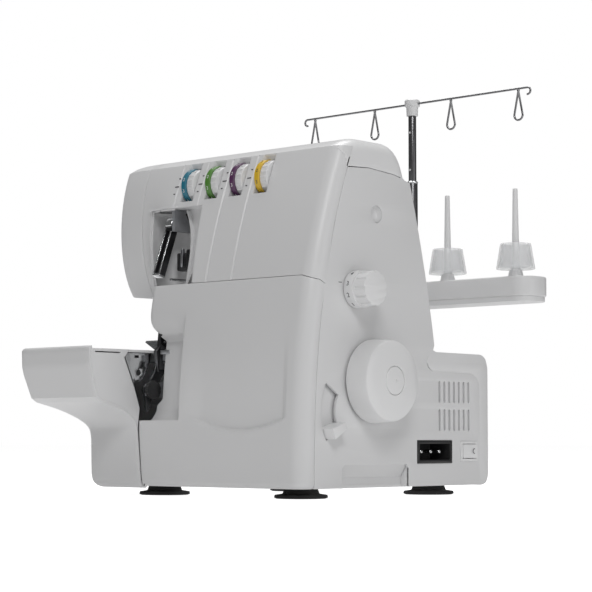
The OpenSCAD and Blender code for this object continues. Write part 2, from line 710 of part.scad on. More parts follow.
module belt_loop(d) {
    hull() {
        translate([shaft_y, shaft_z]) circle(r = pulley_r + d, $fn = 32);
        translate([motor_y, motor_z]) circle(r = motor_pulley_r + d, $fn = 32);
    }
}
module timing_belt() {
    color([0.1, 0.1, 0.1]) along_x(pulley_x + 1, pulley_x + pulley_w - 1) difference() {
        belt_loop(belt_gap + belt_t);
        belt_loop(belt_gap);
    }
}
motor_x = [-30, pulley_x - 18];
motor_shaft_r = 3;
module motor() {
    color([0.3, 0.3, 0.32]) lay_x([motor_x[0], motor_y, motor_z]) difference() {
        union() {
            cylinder(r = motor_r, h = motor_x[1] - motor_x[0]);
            translate([0, 0, -6]) cylinder(r = 9, h = 7);
        }
        translate([0, 0, motor_x[1] - motor_x[0] - 20])
            cylinder(r = motor_shaft_r + fit, h = 21);
    }
}
module motor_pulley() {
    start = motor_x[1] - 18;
    color([0.7, 0.7, 0.72]) union() {
        lay_x([start, motor_y, motor_z]) cylinder(r = motor_shaft_r, h = pulley_x - start + 1);
        lay_x([pulley_x, motor_y, motor_z]) cylinder(r = motor_pulley_r, h = pulley_w);
        for (x = [pulley_x - 1.5, pulley_x + pulley_w]) lay_x([x, motor_y, motor_z])
            cylinder(r = motor_pulley_r + 2, h = 1.5);
    }
}
module motor_bracket() {
    color([0.6, 0.6, 0.62]) difference() {
        union() {
            block([motor_x[1], motor_y - 26, frame_z + 8], [motor_x[1] + 3, motor_y + 20,
                motor_z + 22]);
            block([motor_x[1], motor_y - 26, frame_z + 8], [motor_x[1] + 16, motor_y + 6,
                frame_z + 11]);
        }
        lay_x([motor_x[1] - 1, motor_y, motor_z]) cylinder(r = motor_shaft_r + 3, h = 10);
    }
}

// Needle drive, needle bar, clamp and needles
clamp_z = head_z - 8;
clamp_h = 12;
needle_gap = 4;
module rocker_shaft() {
    x0 = lug_x0 - 8;
    x1 = -24;
    arm_x = crank_x + web_t;
    color([0.7, 0.71, 0.73]) union() {
        lay_x([x0, rocker_y, rocker_z]) cylinder(r = rocker_r, h = x1 - x0);
        lay_x([arm_x, rocker_y, rocker_z]) cylinder(r = rocker_r + 3, h = 10);
        block([arm_x, rocker_y - 22, rocker_z - 3], [arm_x + 10, rocker_y, rocker_z + 3]);
        lay_x([needle_x - 6, rocker_y, rocker_z]) cylinder(r = rocker_r + 3, h = 10);
        block([needle_x - 5, presser_y + presser_bar_r + 3, rocker_z - 3],
            [needle_x + 3, rocker_y, rocker_z + 3]);
    }
}
module take_up_lever() {
    color([0.2, 0.2, 0.21]) difference() {
        union() {
            lay_x([lug_x1 - 13, take_up_y, take_up_z]) cylinder(r = 5, h = 9);
            translate([lug_x1 - 12.5, take_up_y, take_up_z]) rotate([-20, 0, 0]) difference() {
                translate([0, -3.5, -48]) cube([8, 7, 48]);
                translate([2, -4.5, -46]) cube([4, 4, 40]);
            }
        }
        lay_x([lug_x1 - 14, take_up_y, take_up_z]) cylinder(r = 2 + fit, h = 12);
    }
}
module needle_bar() {
    color([0.75, 0.76, 0.78]) translate([needle_x, needle_y, clamp_z + clamp_h])
        cylinder(r = needle_bar_r, h = upright_top_z + 10 - clamp_z - clamp_h);
}
module needle_clamp() {
    color([0.65, 0.66, 0.68]) difference() {
        block([needle_x - 7, needle_y - 5.5, clamp_z], [needle_x + 7, needle_y + 5.5,
            clamp_z + clamp_h]);
        for (s = [-1, 1]) translate([needle_x + s * needle_gap / 2, needle_y, clamp_z - 1])
            cylinder(r = 1, h = 11);
    }
}
module needles() {
    color([0.8, 0.8, 0.82]) for (s = [-1, 1]) translate([needle_x + s * needle_gap / 2, needle_y, 0]) {
        translate([0, 0, clamp_z - 1]) cylinder(r = 1, h = 9);
        translate([0, 0, clamp_z - 22]) cylinder(r = 0.6, h = 22);
        translate([0, 0, clamp_z - 26]) cylinder(r1 = 0.15, r2 = 0.6, h = 4 + eps);
    }
}

// Presser bar, spring, foot and lifting lever
foot_top_z = bed_z + 8;
spring_z = [lug_z[0] + lug_t + 6, lug_z[1] - 0.5];
module presser_bar() {
    color([0.75, 0.76, 0.78]) union() {
        translate([needle_x, presser_y, foot_top_z + 6])
            cylinder(r = presser_bar_r, h = upright_top_z + 2 - foot_top_z - 6);
        translate([needle_x, presser_y, spring_z[0] - 5]) cylinder(r = presser_bar_r + 3.5, h = 5);
    }
}
module presser_spring() {
    color([0.7, 0.7, 0.72]) translate([needle_x, presser_y, spring_z[0] + 0.3])
        ring(presser_bar_r + 3, presser_bar_r + 1.2, spring_z[1] - spring_z[0] - 0.3);
}
module presser_foot() {
    color([0.78, 0.79, 0.8]) difference() {
        union() {
            along_x(-102, -80) polygon([[-86, bed_z + 8], [-85, bed_z + 9.5], [-70, bed_z + 3.5],
                [-12, bed_z + 3.5], [-8, bed_z + 2], [-8, bed_z + 0.4], [-72, bed_z + 0.4]]);
            block([needle_x - 6, presser_y - 8, bed_z + 3], [needle_x + 6, presser_y + 8, foot_top_z]);
            translate([needle_x, presser_y, foot_top_z - 1]) cylinder(r = 6.5, h = 7);
        }
        block([needle_x - 5, needle_y - 4, 0], [needle_x + 5, needle_y + 4, far]);
        block([-98, -81, bed_z], [-95, -60, bed_z + 20]);
    }
}
lifter_x = -90;
lifter_y = 34;
lifter_z = head_z + 30;
lifter_r = 3;
module lifter_lever() {
    color([0.85, 0.85, 0.86]) difference() {
        union() {
            lay_x([lifter_x - 5, lifter_y, lifter_z]) cylinder(r = 7, h = 10);
            translate([lifter_x, lifter_y, lifter_z]) rotate([-20, 0, 0])
                translate([-4, 0, -3.5]) cube([8, 44, 7]);
            translate([lifter_x, lifter_y, lifter_z]) rotate([-20, 0, 0])
                translate([-7, 36, -4.5]) cube([14, 18, 9]);
        }
        lay_x([lifter_x - 6, lifter_y, lifter_z]) cylinder(r = lifter_r + fit, h = 12);
    }
}

// Needle plate, feed dog, loopers and knives
feed_x = [-101.5, -82];
feed_w = 3;
feed_y = [-60, -16];
module needle_plate() {
    color([0.8, 0.8, 0.82]) difference() {
        block([-124, -95, bed_z - plate_thick], [throat_x - 0.5, 30, bed_z]);
        block([needle_x - 4.5, needle_y - 3, 0], [needle_x + 4.5, needle_y + 3, far]);
        for (x = feed_x) block([x - 1, feed_y[0] - 3.5, 0], [x + feed_w + 1, feed_y[1] + 3.5, far]);
        knife_slot();
        for (y = [-88, 24]) translate([-118, y, bed_z - 8]) cylinder(r = 2.2, h = 20);
    }
}
module feed_dog() {
    color([0.7, 0.71, 0.73]) union() {
        for (x = feed_x) difference() {
            block([x, feed_y[0], bed_z - 12], [x + feed_w, feed_y[1], bed_z]);
            for (y = [feed_y[0]:2.2:feed_y[1]]) translate([x - 1, y, bed_z])
                rotate([45, 0, 0]) cube([feed_w + 2, 1.1, 1.1], center = false);
        }
        block([feed_x[0], -26, bed_z - 12], [feed_x[1] + feed_w, -18, bed_z - 8]);
        block([-94, -26, bed_z - 24], [-86, -18, bed_z - 11.5]);
    }
}
module looper(p, y, tip, bend) {
    translate([0, y, 0]) along_y(0, 4) polygon([p + [-4, 0], p + [4, 0], bend + [3, -1], tip,
        bend + [-4, 1]]);
    lay_y([p[0], y - 2, p[1]]) cylinder(r = looper_r, h = 35 - y);
    lay_y([p[0], y - 2, p[1]]) cylinder(r = looper_r + 4, h = 8);
}
module lower_looper() {
    p = looper_axes[0];
    color([0.76, 0.77, 0.8]) looper(p, -46, [-96, bed_z - 16], [-82, bed_z - 26]);
}
module upper_looper() {
    p = looper_axes[1];
    color([0.76, 0.77, 0.8]) looper(p, -53, [-84, bed_z - 14], [-76, bed_z - 30]);
}
module fixed_knife() {
    color([0.8, 0.81, 0.83]) block([knife_x + 0.5, -74, bed_z - 27], [knife_x + 2, -60, bed_z - 0.1]);
}
module moving_knife() {
    color([0.12, 0.12, 0.13]) along_x(knife_x + knife_arm_t, knife_x + 4) polygon([[-94, knife_z + 18],
        [-84, knife_z + 18], [-84, knife_z + 36], [-92, knife_z + 40]]);
}
module knife_arm() {
    color([0.15, 0.15, 0.16]) difference() {
        union() {
            lay_x([knife_x, knife_y, knife_z]) cylinder(r = 6, h = knife_arm_t);
            along_x(knife_x, knife_x + knife_arm_t) polygon([[knife_y - 5, knife_z - 3],
                [knife_y + 5, knife_z - 4], [-88, knife_z + 14], [-84, knife_z + 20],
                [-84, knife_z + 30], [-94, knife_z + 30], [-98, knife_z + 16]]);
            along_x(knife_x, knife_x + knife_arm_t) polygon([[knife_y - 5, knife_z + 2],
                [knife_y + 4, knife_z - 4], [knife_y + 1, knife_z - 15], [knife_y - 2, knife_z - 19]]);
        }
        lay_x([knife_x - 1, knife_y, knife_z]) cylinder(r = knife_pin_r, h = knife_arm_t + 2);
    }
}
module knife_knob() {
    color([0.1, 0.1, 0.1]) {
        lay_x([knife_knob_x, knife_y, knife_z]) difference() {
            cylinder(r = knife_knob_r, h = knife_knob_h);
            for (a = [0:30:330]) rotate([0, 0, a]) translate([knife_knob_r + 0.4, 0, -1])
                cylinder(r = 0.9, h = knife_knob_h + 2);
        }
        lay_x([knife_x, knife_y, knife_z]) cylinder(r = knife_pin_r, h = knife_knob_x - knife_x + 1);
    }
}

// Thread-tension dials on one axle, each with a pair of tension discs beside it
dial_colors = [[0.1, 0.6, 0.68], [0.42, 0.72, 0.2], [0.5, 0.15, 0.5], [0.92, 0.75, 0.1]];
module dial(i) {
    color(dial_colors[i]) lay_x([dial_x[i] - dial_w / 2, dial_y, dial_z]) difference() {
        cylinder(r = dial_r, h = dial_w);
        translate([0, 0, -1]) cylinder(r = dial_axle_r + fit, h = dial_w + 2);
        for (a = [0:20:340]) rotate([0, 0, a]) translate([dial_r + 0.5, 0, dial_w * 0.55])
            cylinder(r = 1.2, h = dial_w);
    }
}
module tension_dial_1() { dial(0); }
module tension_dial_2() { dial(1); }
module tension_dial_3() { dial(2); }
module tension_dial_4() { dial(3); }
module dial_axle() {
    color([0.7, 0.7, 0.72]) lay_x([dial_x[0] - 12, dial_y, dial_z])
        cylinder(r = dial_axle_r, h = dial_x[3] - dial_x[0] + 28);
}
module tension_discs() {
    color([0.8, 0.8, 0.82]) for (x = dial_x, k = [0, 1])
        lay_x([x + dial_w / 2 + 0.8 + 1.6 * k, dial_y, dial_z]) ring(disc_r, dial_axle_r, 1);
}

// Stitch-length knob, differential-feed lever, switch and inlet
module stitch_knob() {
    x = right_x + 1;
    collar_w = 9;
    color([0.9, 0.9, 0.9]) lay_x([x, knob_y, knob_z]) difference() {
        union() {
            cylinder(r = knob_r, h = collar_w);
            translate([0, 0, collar_w - eps]) cylinder(r = knob_r - 1.2, h = knob_len - collar_w);
            translate([0, 0, -11]) cylinder(r = 4, h = 12);
            translate([0, 0, -13]) cylinder(r = 9, h = 4);
        }
        for (a = [0:30:330]) rotate([0, 0, a]) translate([knob_r - 0.4, 0, collar_w + 1])
            cylinder(r = 1.6, h = knob_len);
    }
}
module feed_lever() {
    color([0.9, 0.9, 0.9]) difference() {
        union() {
            on_right([lever_y, lever_z], right_x - 9) cylinder(r = 8, h = 3);
            on_right([lever_y, lever_z], right_x - 9) sector(5, lever_out + 3, 196, 212, 3);
            on_right([lever_y, lever_z], right_x - 7) sector(lever_in, lever_out, 198.5, 211, 17);
        }
        lay_x([right_x - 10, lever_y, lever_z]) cylinder(r = lever_pin_r + fit, h = 6);
    }
}
module switch_frame() {
    x = right_x - 20;
    color([0.85, 0.85, 0.85]) difference() {
        block([x, switch_y[0], switch_z[0]], [right_x + 1, switch_y[1], switch_z[1]]);
        block([x + 2, switch_y[0] + 2, switch_z[0] + 2], [right_x + 2, switch_y[1] - 2,
            switch_z[1] - 2]);
        rocker_pin(rocker_pin_r + fit);
    }
}
rocker_half = (switch_y[1] - switch_y[0]) / 2 - 3.1;
rocker_pin_r = 1.5;
module rocker_pin(r) {
    translate([right_x - 4, (switch_y[0] + switch_y[1]) / 2, switch_z[0] + 0.8])
        cylinder(r = r, h = switch_z[1] - switch_z[0] - 1.6);
}
module power_rocker() {
    mid_y = (switch_y[0] + switch_y[1]) / 2;
    color([0.93, 0.93, 0.93]) union() {
        translate([right_x - 4, mid_y, switch_z[0] + 2.5])
            linear_extrude(switch_z[1] - switch_z[0] - 5) polygon([[-4, -3], [-4, 3],
                [3.2, rocker_half], [6.6, rocker_half], [4.2, 0], [5, -rocker_half],
                [1.6, -rocker_half]]);
        rocker_pin(rocker_pin_r);
    }
}
inlet_depth = 26;
module inlet_socket() {
    x = right_x - inlet_depth;
    color([0.1, 0.1, 0.1]) difference() {
        block([x, socket_y[0], socket_z[0]], [right_x + 0.6, socket_y[1], socket_z[1]]);
        block([x + 4, socket_y[0] + 3, socket_z[0] + 3], [right_x + 2, socket_y[1] - 3,
            socket_z[1] - 3]);
    }
}
module inlet_pins() {
    mid_y = (socket_y[0] + socket_y[1]) / 2;
    mid_z = (socket_z[0] + socket_z[1]) / 2;
    color([0.75, 0.75, 0.78]) for (d = [-12, 0, 12]) block([right_x - inlet_depth + 4 - eps,
        mid_y + d - 1, mid_z - 2.5], [right_x - 8, mid_y + d + 1, mid_z + 2.5]);
}

// Thread stand: bracket, tray, pins, cones, column and guide wire with eyelets
column_x0 = 29;
column_y = rear_y - 4;
pin_y = column_y - 6;
tray_z = bed_z + stand_rise;
tray_drop = 16;
wire_z = tray_z + wire_rise;
pin_x = [for (d = [-pin_reach, -pin_pitch, pin_pitch, pin_reach]) column_x0 + d];
module stand_bracket() {
    color([0.85, 0.85, 0.86]) difference() {
        union() {
            block([column_x0 - 18, column_y - 30, bump_z], [column_x0 + 18, column_y + 10, bump_z + 5]);
            translate([column_x0, column_y, bump_z]) cylinder(r = column_r + 5, h = 22);
        }
        translate([column_x0, column_y, bump_z + 3]) cylinder(r = column_r, h = 30);
    }
}
module tray_2d(d) {
    r = tray_w / 2 - d;
    reach = pin_reach + 25 - tray_w / 2;
    translate([column_x0, column_y]) union() {
        square([2 * reach, 2 * r], center = true);
        for (s = [-1, 1]) translate([s * reach, 0]) circle(r = r);
    }
}
module spool_tray() {
    color([0.92, 0.92, 0.92]) difference() {
        union() {
            difference() {
                translate([0, 0, tray_z - tray_drop]) linear_extrude(tray_drop) tray_2d(0);
                translate([0, 0, tray_z - tray_drop - 1]) linear_extrude(tray_drop - 2) tray_2d(2.5);
            }
            translate([column_x0, column_y, tray_z - tray_drop]) cylinder(r = 10, h = tray_drop);
        }
        translate([column_x0, column_y, 0]) cylinder(r = column_r, h = far);
        for (x = pin_x) translate([x, pin_y, tray_z - 10]) cylinder(r = 3, h = 20);
    }
}
cone_low = 11.3;
module spool_pins() {
    color([0.93, 0.93, 0.93]) for (x = pin_x) translate([x, pin_y, 0]) union() {
        translate([0, 0, tray_z - 5]) cylinder(r = 3, h = 6);
        translate([0, 0, tray_z]) cylinder(r1 = 8, r2 = 5.4, h = cone_low - 0.1);
        translate([0, 0, tray_z + 2]) cylinder(r1 = 3.6, r2 = 2.1, h = pin_h - 2);
    }
}
module spool_cones() {
    color([0.93, 0.93, 0.95, 0.6]) for (x = pin_x) translate([x, pin_y, tray_z + cone_low])
        rotate_extrude() polygon([[3.9, 0], [cone_r, 0], [cone_r, 1.5], [cone_r - 3.4, 22.5],
            [cone_r - 4.9, 22.5], [cone_r - 1.8, 2.5], [3.9, 2.5]]);
}
rod_r = 3.6;
tube_top_z = tray_z + 98;
module thread_column() {
    color([0.3, 0.3, 0.32]) difference() {
        translate([column_x0, column_y, bump_z + 3]) cylinder(r = column_r, h = tube_top_z - bump_z - 3);
        translate([column_x0, column_y, bump_z + 6]) cylinder(r = rod_r + fit, h = far);
    }
}
module column_rod() {
    low = tube_top_z - 30;
    color([0.35, 0.35, 0.37]) translate([column_x0, column_y, low])
        cylinder(r = rod_r, h = wire_z - 8 - low);
}
module column_cap() {
    color([0.92, 0.92, 0.92]) difference() {
        translate([column_x0, column_y, wire_z - 11]) rotate_extrude() polygon([[0, 0], [5.2, 0],
            [5.4, 8], [7, 9], [7, 14], [6, 15], [0, 15]]);
        translate([column_x0, column_y, wire_z - 12]) cylinder(r = rod_r, h = 4);
        lay_x([column_x0 - 10, column_y, wire_z]) cylinder(r = wire_r, h = 20);
    }
}
wire_r = 0.9;
wire_reach = pin_reach + 10;
hook_r = 3;
module guide_wire() {
    color([0.8, 0.8, 0.82]) union() {
        lay_x([column_x0 - wire_reach, column_y, wire_z]) cylinder(r = wire_r, h = 2 * wire_reach);
        for (s = [0, 180]) translate([column_x0, column_y, wire_z]) rotate([0, 0, s]) {
            translate([wire_reach, 0, -hook_r]) rotate([90, 0, 0]) rotate([0, 0, -100])
                rotate_extrude(angle = 190) translate([hook_r, 0]) circle(r = wire_r, $fn = 24);
        }
    }
}
loop_r = 4.5;
loop_h = 28;
module thread_eyelets() {
    fall = loop_h - loop_r - 2;
    lean = atan2(loop_r, fall);
    color([0.8, 0.8, 0.82]) for (x = pin_x) translate([x, column_y, wire_z - wire_r - 0.9]) union() {
        for (s = [-1, 1]) rotate([0, -s * lean, 0]) translate([0, 0, -fall / cos(lean)])
            cylinder(r = wire_r, h = fall / cos(lean));
        translate([0, 0, -fall]) rotate([90, 0, 0]) rotate([0, 0, 180]) rotate_extrude(angle = 180)
            translate([loop_r, 0]) circle(r = wire_r, $fn = 24);
        sphere(r = wire_r + 0.4, $fn = 24);
    }
}

base_frame();
bottom_cover();
feet();
base_screws();
front_door();
door_hinge_rod();
left_cover();
face_cover();
front_cover();
top_cover();
right_cover();
rear_cover();
main_shaft();
shaft_bushes();
shaft_pulley();
handwheel();
handwheel_cap();
timing_belt();
motor();
motor_pulley();
motor_bracket();
needle_rod();
rocker_shaft();
take_up_lever();
needle_bar();
needle_clamp();
needles();
presser_bar();
presser_spring();
presser_foot();
lifter_lever();
needle_plate();
feed_dog();
lower_looper();
upper_looper();
fixed_knife();
moving_knife();
knife_arm();
knife_knob();
tension_dial_1();
tension_dial_2();
tension_dial_3();
tension_dial_4();
dial_axle();
tension_discs();
stitch_knob();
feed_lever();
switch_frame();
power_rocker();
inlet_socket();
inlet_pins();
stand_bracket();
spool_tray();
spool_pins();
spool_cones();
thread_column();
column_rod();
column_cap();
guide_wire();
thread_eyelets();
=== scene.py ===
"""Overlock sewing machine: covers, controls and fittings built round the working frame."""
import json
import math

import bmesh
import bpy
from mathutils import Matrix, Vector

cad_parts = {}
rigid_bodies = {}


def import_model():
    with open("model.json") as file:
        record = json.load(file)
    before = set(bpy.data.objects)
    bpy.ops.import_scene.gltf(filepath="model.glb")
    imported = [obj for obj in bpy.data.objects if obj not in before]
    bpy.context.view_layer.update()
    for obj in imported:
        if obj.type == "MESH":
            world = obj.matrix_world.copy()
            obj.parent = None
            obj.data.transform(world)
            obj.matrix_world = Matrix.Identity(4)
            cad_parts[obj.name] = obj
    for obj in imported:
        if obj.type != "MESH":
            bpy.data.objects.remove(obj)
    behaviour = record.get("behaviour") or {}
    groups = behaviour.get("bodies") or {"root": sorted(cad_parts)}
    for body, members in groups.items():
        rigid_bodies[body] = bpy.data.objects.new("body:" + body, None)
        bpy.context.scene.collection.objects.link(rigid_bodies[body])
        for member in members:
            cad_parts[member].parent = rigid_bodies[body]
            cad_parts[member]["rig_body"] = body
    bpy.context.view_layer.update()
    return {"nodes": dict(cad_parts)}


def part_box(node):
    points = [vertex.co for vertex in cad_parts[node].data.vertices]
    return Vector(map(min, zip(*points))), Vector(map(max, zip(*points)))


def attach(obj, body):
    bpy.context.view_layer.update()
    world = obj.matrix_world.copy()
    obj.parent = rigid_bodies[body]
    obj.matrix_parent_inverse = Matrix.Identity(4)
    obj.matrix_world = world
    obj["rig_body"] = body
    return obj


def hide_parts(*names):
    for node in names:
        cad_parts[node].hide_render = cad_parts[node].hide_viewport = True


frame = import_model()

MM = 0.001
GROUND = 9000.0  # half the width of the floor

# Main sizes of the body, in millimetres
RIGHT_X = 110.0
FRONT_Y = 114.6
BODY_Z = 8.0
BED_Z = 124.5
HEAD_Z = 174.5
SHOULDER_Z = 288.5
CREST_Z = 297.0
DOOR_Z = 180.0
SEAM = 0.5
WALL = 2.2
SHOULDER_Y = -66.0
SLOPE_TOP_Y = 21.0
HEAD_SEAM_X = -118.0
HEAD_LEFT_X = -147.0
CORNER_R = 13.0
WRAP_Y = 15.0
GUARD_X = -31.0
LEDGE_Z = 64.0
SHAFT_YZ = (-29.5, 95.5)
KNOB_YZ = (-49.6, 170.3)
DIAL_X = [-58.0, -28.7, 0.6, 29.9]
DIAL_YZ = (-63.18, 268.0)
STAND_X, STAND_Y = 29.0, 125.0


# ---------------------------------------------------------------- curves
def bezier(p, t):
    """Point of a cubic curve with four control points."""
    k = (1 - t) ** 3, 3 * t * (1 - t) ** 2, 3 * t * t * (1 - t), t ** 3
    return tuple(sum(k[i] * p[i][n] for i in range(4)) for n in range(2))


def share_z(s):
    """Height at a share of the way from the underside to the shoulder."""
    return BODY_Z + s * (SHOULDER_Z - BODY_Z)


def at_height(curve, z):
    """Depth of a rising curve at height z, by halving."""
    a, b = 0.0, 1.0
    for _ in range(28):
        m = (a + b) / 2
        if bezier(curve, m)[1] < z:
            a = m
        else:
            b = m
    return bezier(curve, (a + b) / 2)[0]


FRONT_CURVE = [(-FRONT_Y, BODY_Z), (-FRONT_Y - 0.4, share_z(0.36)),
               (-FRONT_Y + 7.6, share_z(0.65)), (SHOULDER_Y, SHOULDER_Z)]
HEAD_CURVE = [(-60, HEAD_Z), (-77, HEAD_Z + 22), (-82, HEAD_Z + 72), (SHOULDER_Y, SHOULDER_Z)]
BROW_CURVE = [(SHOULDER_Y, SHOULDER_Z), (SHOULDER_Y + 8, SHOULDER_Z + 4.5),
              (SHOULDER_Y + 16, CREST_Z), (SHOULDER_Y + 28, CREST_Z)]
NAPE_CURVE = [(-9, CREST_Z), (8, CREST_Z), (16, CREST_Z - 12), (SLOPE_TOP_Y, CREST_Z - 30)]
SLOPE_CURVE = [(SLOPE_TOP_Y, CREST_Z - 30), (34, CREST_Z - 72), (49, BED_Z + 39),
               (55, BED_Z - 3)]


def face_y(z):
    """Depth of the body's front at height z."""
    return at_height(FRONT_CURVE, max(z, BODY_Z + 0.01))


def head_y(z):
    """Depth of the head's front at height z."""
    return at_height(HEAD_CURVE, min(max(z, HEAD_Z + 0.01), SHOULDER_Z))


def blend01(t):
    """A smooth step from 0 to 1."""
    t = min(max(t, 0.0), 1.0)
    return t * t * (3 - 2 * t)


def steps(a, b, size):
    """Even places from a up to but not including b, about one size apart."""
    n = max(1, int(round(abs(b - a) / size)))
    return [a + (b - a) * i / n for i in range(n)]


def quarter(n):
    return [math.radians(90 * i / n) for i in range(n + 1)]


# ---------------------------------------------------------------- making pieces
def new_object(name, mesh):
    obj = bpy.data.objects.new(name, mesh)
    bpy.context.scene.collection.objects.link(obj)
    return obj


def build_mesh(name, points, faces, merge=0.02):
    """A mesh from points in millimetres, with doubles merged and normals outward."""
    mesh = bpy.data.meshes.new(name)
    mesh.from_pydata([(p[0] * MM, p[1] * MM, p[2] * MM) for p in points], [], faces)
    bm = bmesh.new()
    bm.from_mesh(mesh)
    bmesh.ops.remove_doubles(bm, verts=bm.verts, dist=merge * MM)
    bmesh.ops.dissolve_degenerate(bm, edges=bm.edges, dist=merge * MM * 0.5)
    bmesh.ops.recalc_face_normals(bm, faces=bm.faces)
    bm.to_mesh(mesh)
    bm.free()
    return mesh


def settle(obj, smooth_angle=32):
    """Turns the object's modifiers into a plain mesh and smooths it up to an angle."""
    bpy.context.view_layer.update()
    graph = bpy.context.evaluated_depsgraph_get()
    mesh = bpy.data.meshes.new_from_object(obj.evaluated_get(graph))
    mesh.name = obj.name
    obj.modifiers.clear()
    obj.data = mesh
    mesh.shade_smooth()
    mesh.set_sharp_from_angle(angle=math.radians(smooth_angle))
    return obj


def thicken(obj, wall, outward=-1.0, even=True):
    mod = obj.modifiers.new("wall", "SOLIDIFY")
    mod.thickness = wall * MM
    mod.offset = outward
    mod.use_even_offset = even
    mod.thickness_clamp = 0.0


def round_edges(obj, width, angle=40, segments=2):
    mod = obj.modifiers.new("edges", "BEVEL")
    mod.width = width * MM
    mod.segments = segments
    mod.limit_method = "ANGLE"
    mod.angle_limit = math.radians(angle)
    mod.use_clamp_overlap = True


def fit(obj, body, finish, nodes=()):
    """Gives a finished piece its material and body, and hides the CAD nodes that it stands for."""
    if finish is not None:
        obj.data.materials.clear()
        obj.data.materials.append(finish)
    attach(obj, body)
    if nodes:
        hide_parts(*nodes)
    return obj


def cad_copy(node, finish, edge=0.5, name=None, angle=35, merge=0.01, segments=2,
             smooth=32):
    """A merged and edge-rounded copy of a CAD node that replaces it."""
    source = frame["nodes"][node]
    mesh = source.data.copy()
    mesh.materials.clear()
    bm = bmesh.new()
    bm.from_mesh(mesh)
    bmesh.ops.remove_doubles(bm, verts=bm.verts, dist=merge * MM)
    bmesh.ops.dissolve_limit(bm, angle_limit=math.radians(1.2), verts=bm.verts, edges=bm.edges)
    bm.to_mesh(mesh)
    bm.free()
    mesh.polygons.foreach_set("material_index", [0] * len(mesh.polygons))
    obj = new_object(name or node + "_finish", mesh)
    if edge:
        round_edges(obj, edge, angle, segments)
    settle(obj, smooth)
    return fit(obj, source["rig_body"], finish, (node,))


def grid_faces(rows, cols, keep=None):
    faces = []
    for r in range(rows - 1):
        for c in range(cols - 1):
            if keep is None or keep(r, c):
                a = r * cols + c
                faces.append((a, a + 1, a + cols + 1, a + cols))
    return faces


def sheet_piece(name, rows, keep=None, wall=WALL, edge=0.35, outward=-1.0, flip=False,
                even=True):
    """A skin through rows of points, given a wall and softened edges."""
    cols = len(rows[0])
    points = [p for row in rows for p in row]
    mesh = build_mesh(name, points, grid_faces(len(rows), cols, keep))
    if flip:
        mesh.flip_normals()
    obj = new_object(name, mesh)
    thicken(obj, wall, outward, even)
    if edge:
        round_edges(obj, edge, 50, 2)
    return settle(obj)


def turned(name, profile, centre, axis="X", sides=72):
    """A solid of revolution from (radius, height) points, its heights along the axis."""
    points, faces = [], []
    n = len(profile)
    for i in range(sides):
        a = 2 * math.pi * i / sides
        for r, h in profile:
            u, v = r * math.cos(a), r * math.sin(a)
            if axis == "X":
                points.append((centre[0] + h, centre[1] + u, centre[2] + v))
            elif axis == "Z":
                points.append((centre[0] + u, centre[1] + v, centre[2] + h))
            else:
                points.append((centre[0] + u, centre[1] + h, centre[2] + v))
    for i in range(sides):
        j = (i + 1) % sides
        for k in range(n - 1):
            faces.append((i * n + k, j * n + k, j * n + k + 1, i * n + k + 1))
    return new_object(name, build_mesh(name, points, faces, 0.005))


def plate(name, outline, holes, place, thick, edge=0.3):
    """A flat plate cut from a filled outline with holes; place turns (u, v, w) into (x, y, z)."""
    curve = bpy.data.curves.new(name, "CURVE")
    curve.dimensions = "2D"
    curve.fill_mode = "BOTH"
    for ring in [outline] + list(holes):
        spline = curve.splines.new("POLY")
        spline.points.add(len(ring) - 1)
        for point, (u, v) in zip(spline.points, ring):
            point.co = (u * MM, v * MM, 0, 1)
        spline.use_cyclic_u = True
    curve.extrude = (thick / 2 - edge) * MM
    curve.bevel_depth = edge * MM
    curve.bevel_resolution = 2
    curve.offset = -edge * MM
    flat = new_object(name + "_flat", curve)
    bpy.context.view_layer.update()
    mesh = bpy.data.meshes.new_from_object(flat.evaluated_get(
        bpy.context.evaluated_depsgraph_get()))
    bpy.data.objects.remove(flat)
    mesh.transform(place)
    bm = bmesh.new()
    bm.from_mesh(mesh)
    bmesh.ops.remove_doubles(bm, verts=bm.verts, dist=0.004 * MM)
    bmesh.ops.recalc_face_normals(bm, faces=bm.faces)
    bm.to_mesh(mesh)
    bm.free()
    obj = new_object(name, mesh)
    return settle(obj)


def onto_x(x):
    """Turns plate coordinates (u, v, w) into (x + w, u, v): a plate that faces right."""
    return Matrix(((0, 0, 1, x * MM), (1, 0, 0, 0), (0, 1, 0, 0), (0, 0, 0, 1)))


def onto_y(y):
    """Stands a drawing in the XZ plane at the depth y."""
    return Matrix(((1, 0, 0, 0), (0, 0, -1, y * MM), (0, 1, 0, 0), (0, 0, 0, 1)))


def onto_z(z):
    return Matrix.Translation((0, 0, z * MM))


# ---------------------------------------------------------------- shader groups
def group(name, inputs, outputs):
    tree = bpy.data.node_groups.new(name, "ShaderNodeTree")
    for kind, label, value in inputs:
        socket = tree.interface.new_socket(label, in_out="INPUT", socket_type=kind)
        if value is not None:
            socket.default_value = value
    for kind, label in outputs:
        tree.interface.new_socket(label, in_out="OUTPUT", socket_type=kind)
    return tree, tree.nodes.new("NodeGroupInput"), tree.nodes.new("NodeGroupOutput")


def math_node(tree, kind, a, b=None, clamp=False):
    node = tree.nodes.new("ShaderNodeMath")
    node.operation = kind
    node.use_clamp = clamp
    for socket, value in zip(node.inputs, (a, b)):
        if value is None:
            continue
        if isinstance(value, (int, float)):
            socket.default_value = value
        else:
            tree.links.new(value, socket)
    return node.outputs[0]


def noise(tree, vector, scale, detail=2.0, rough=0.5):
    node = tree.nodes.new("ShaderNodeTexNoise")
    node.inputs["Detail"].default_value = detail
    node.inputs["Roughness"].default_value = rough
    tree.links.new(vector, node.inputs["Vector"])
    if isinstance(scale, (int, float)):
        node.inputs["Scale"].default_value = scale
    else:
        tree.links.new(scale, node.inputs["Scale"])
    return node.outputs["Fac"]


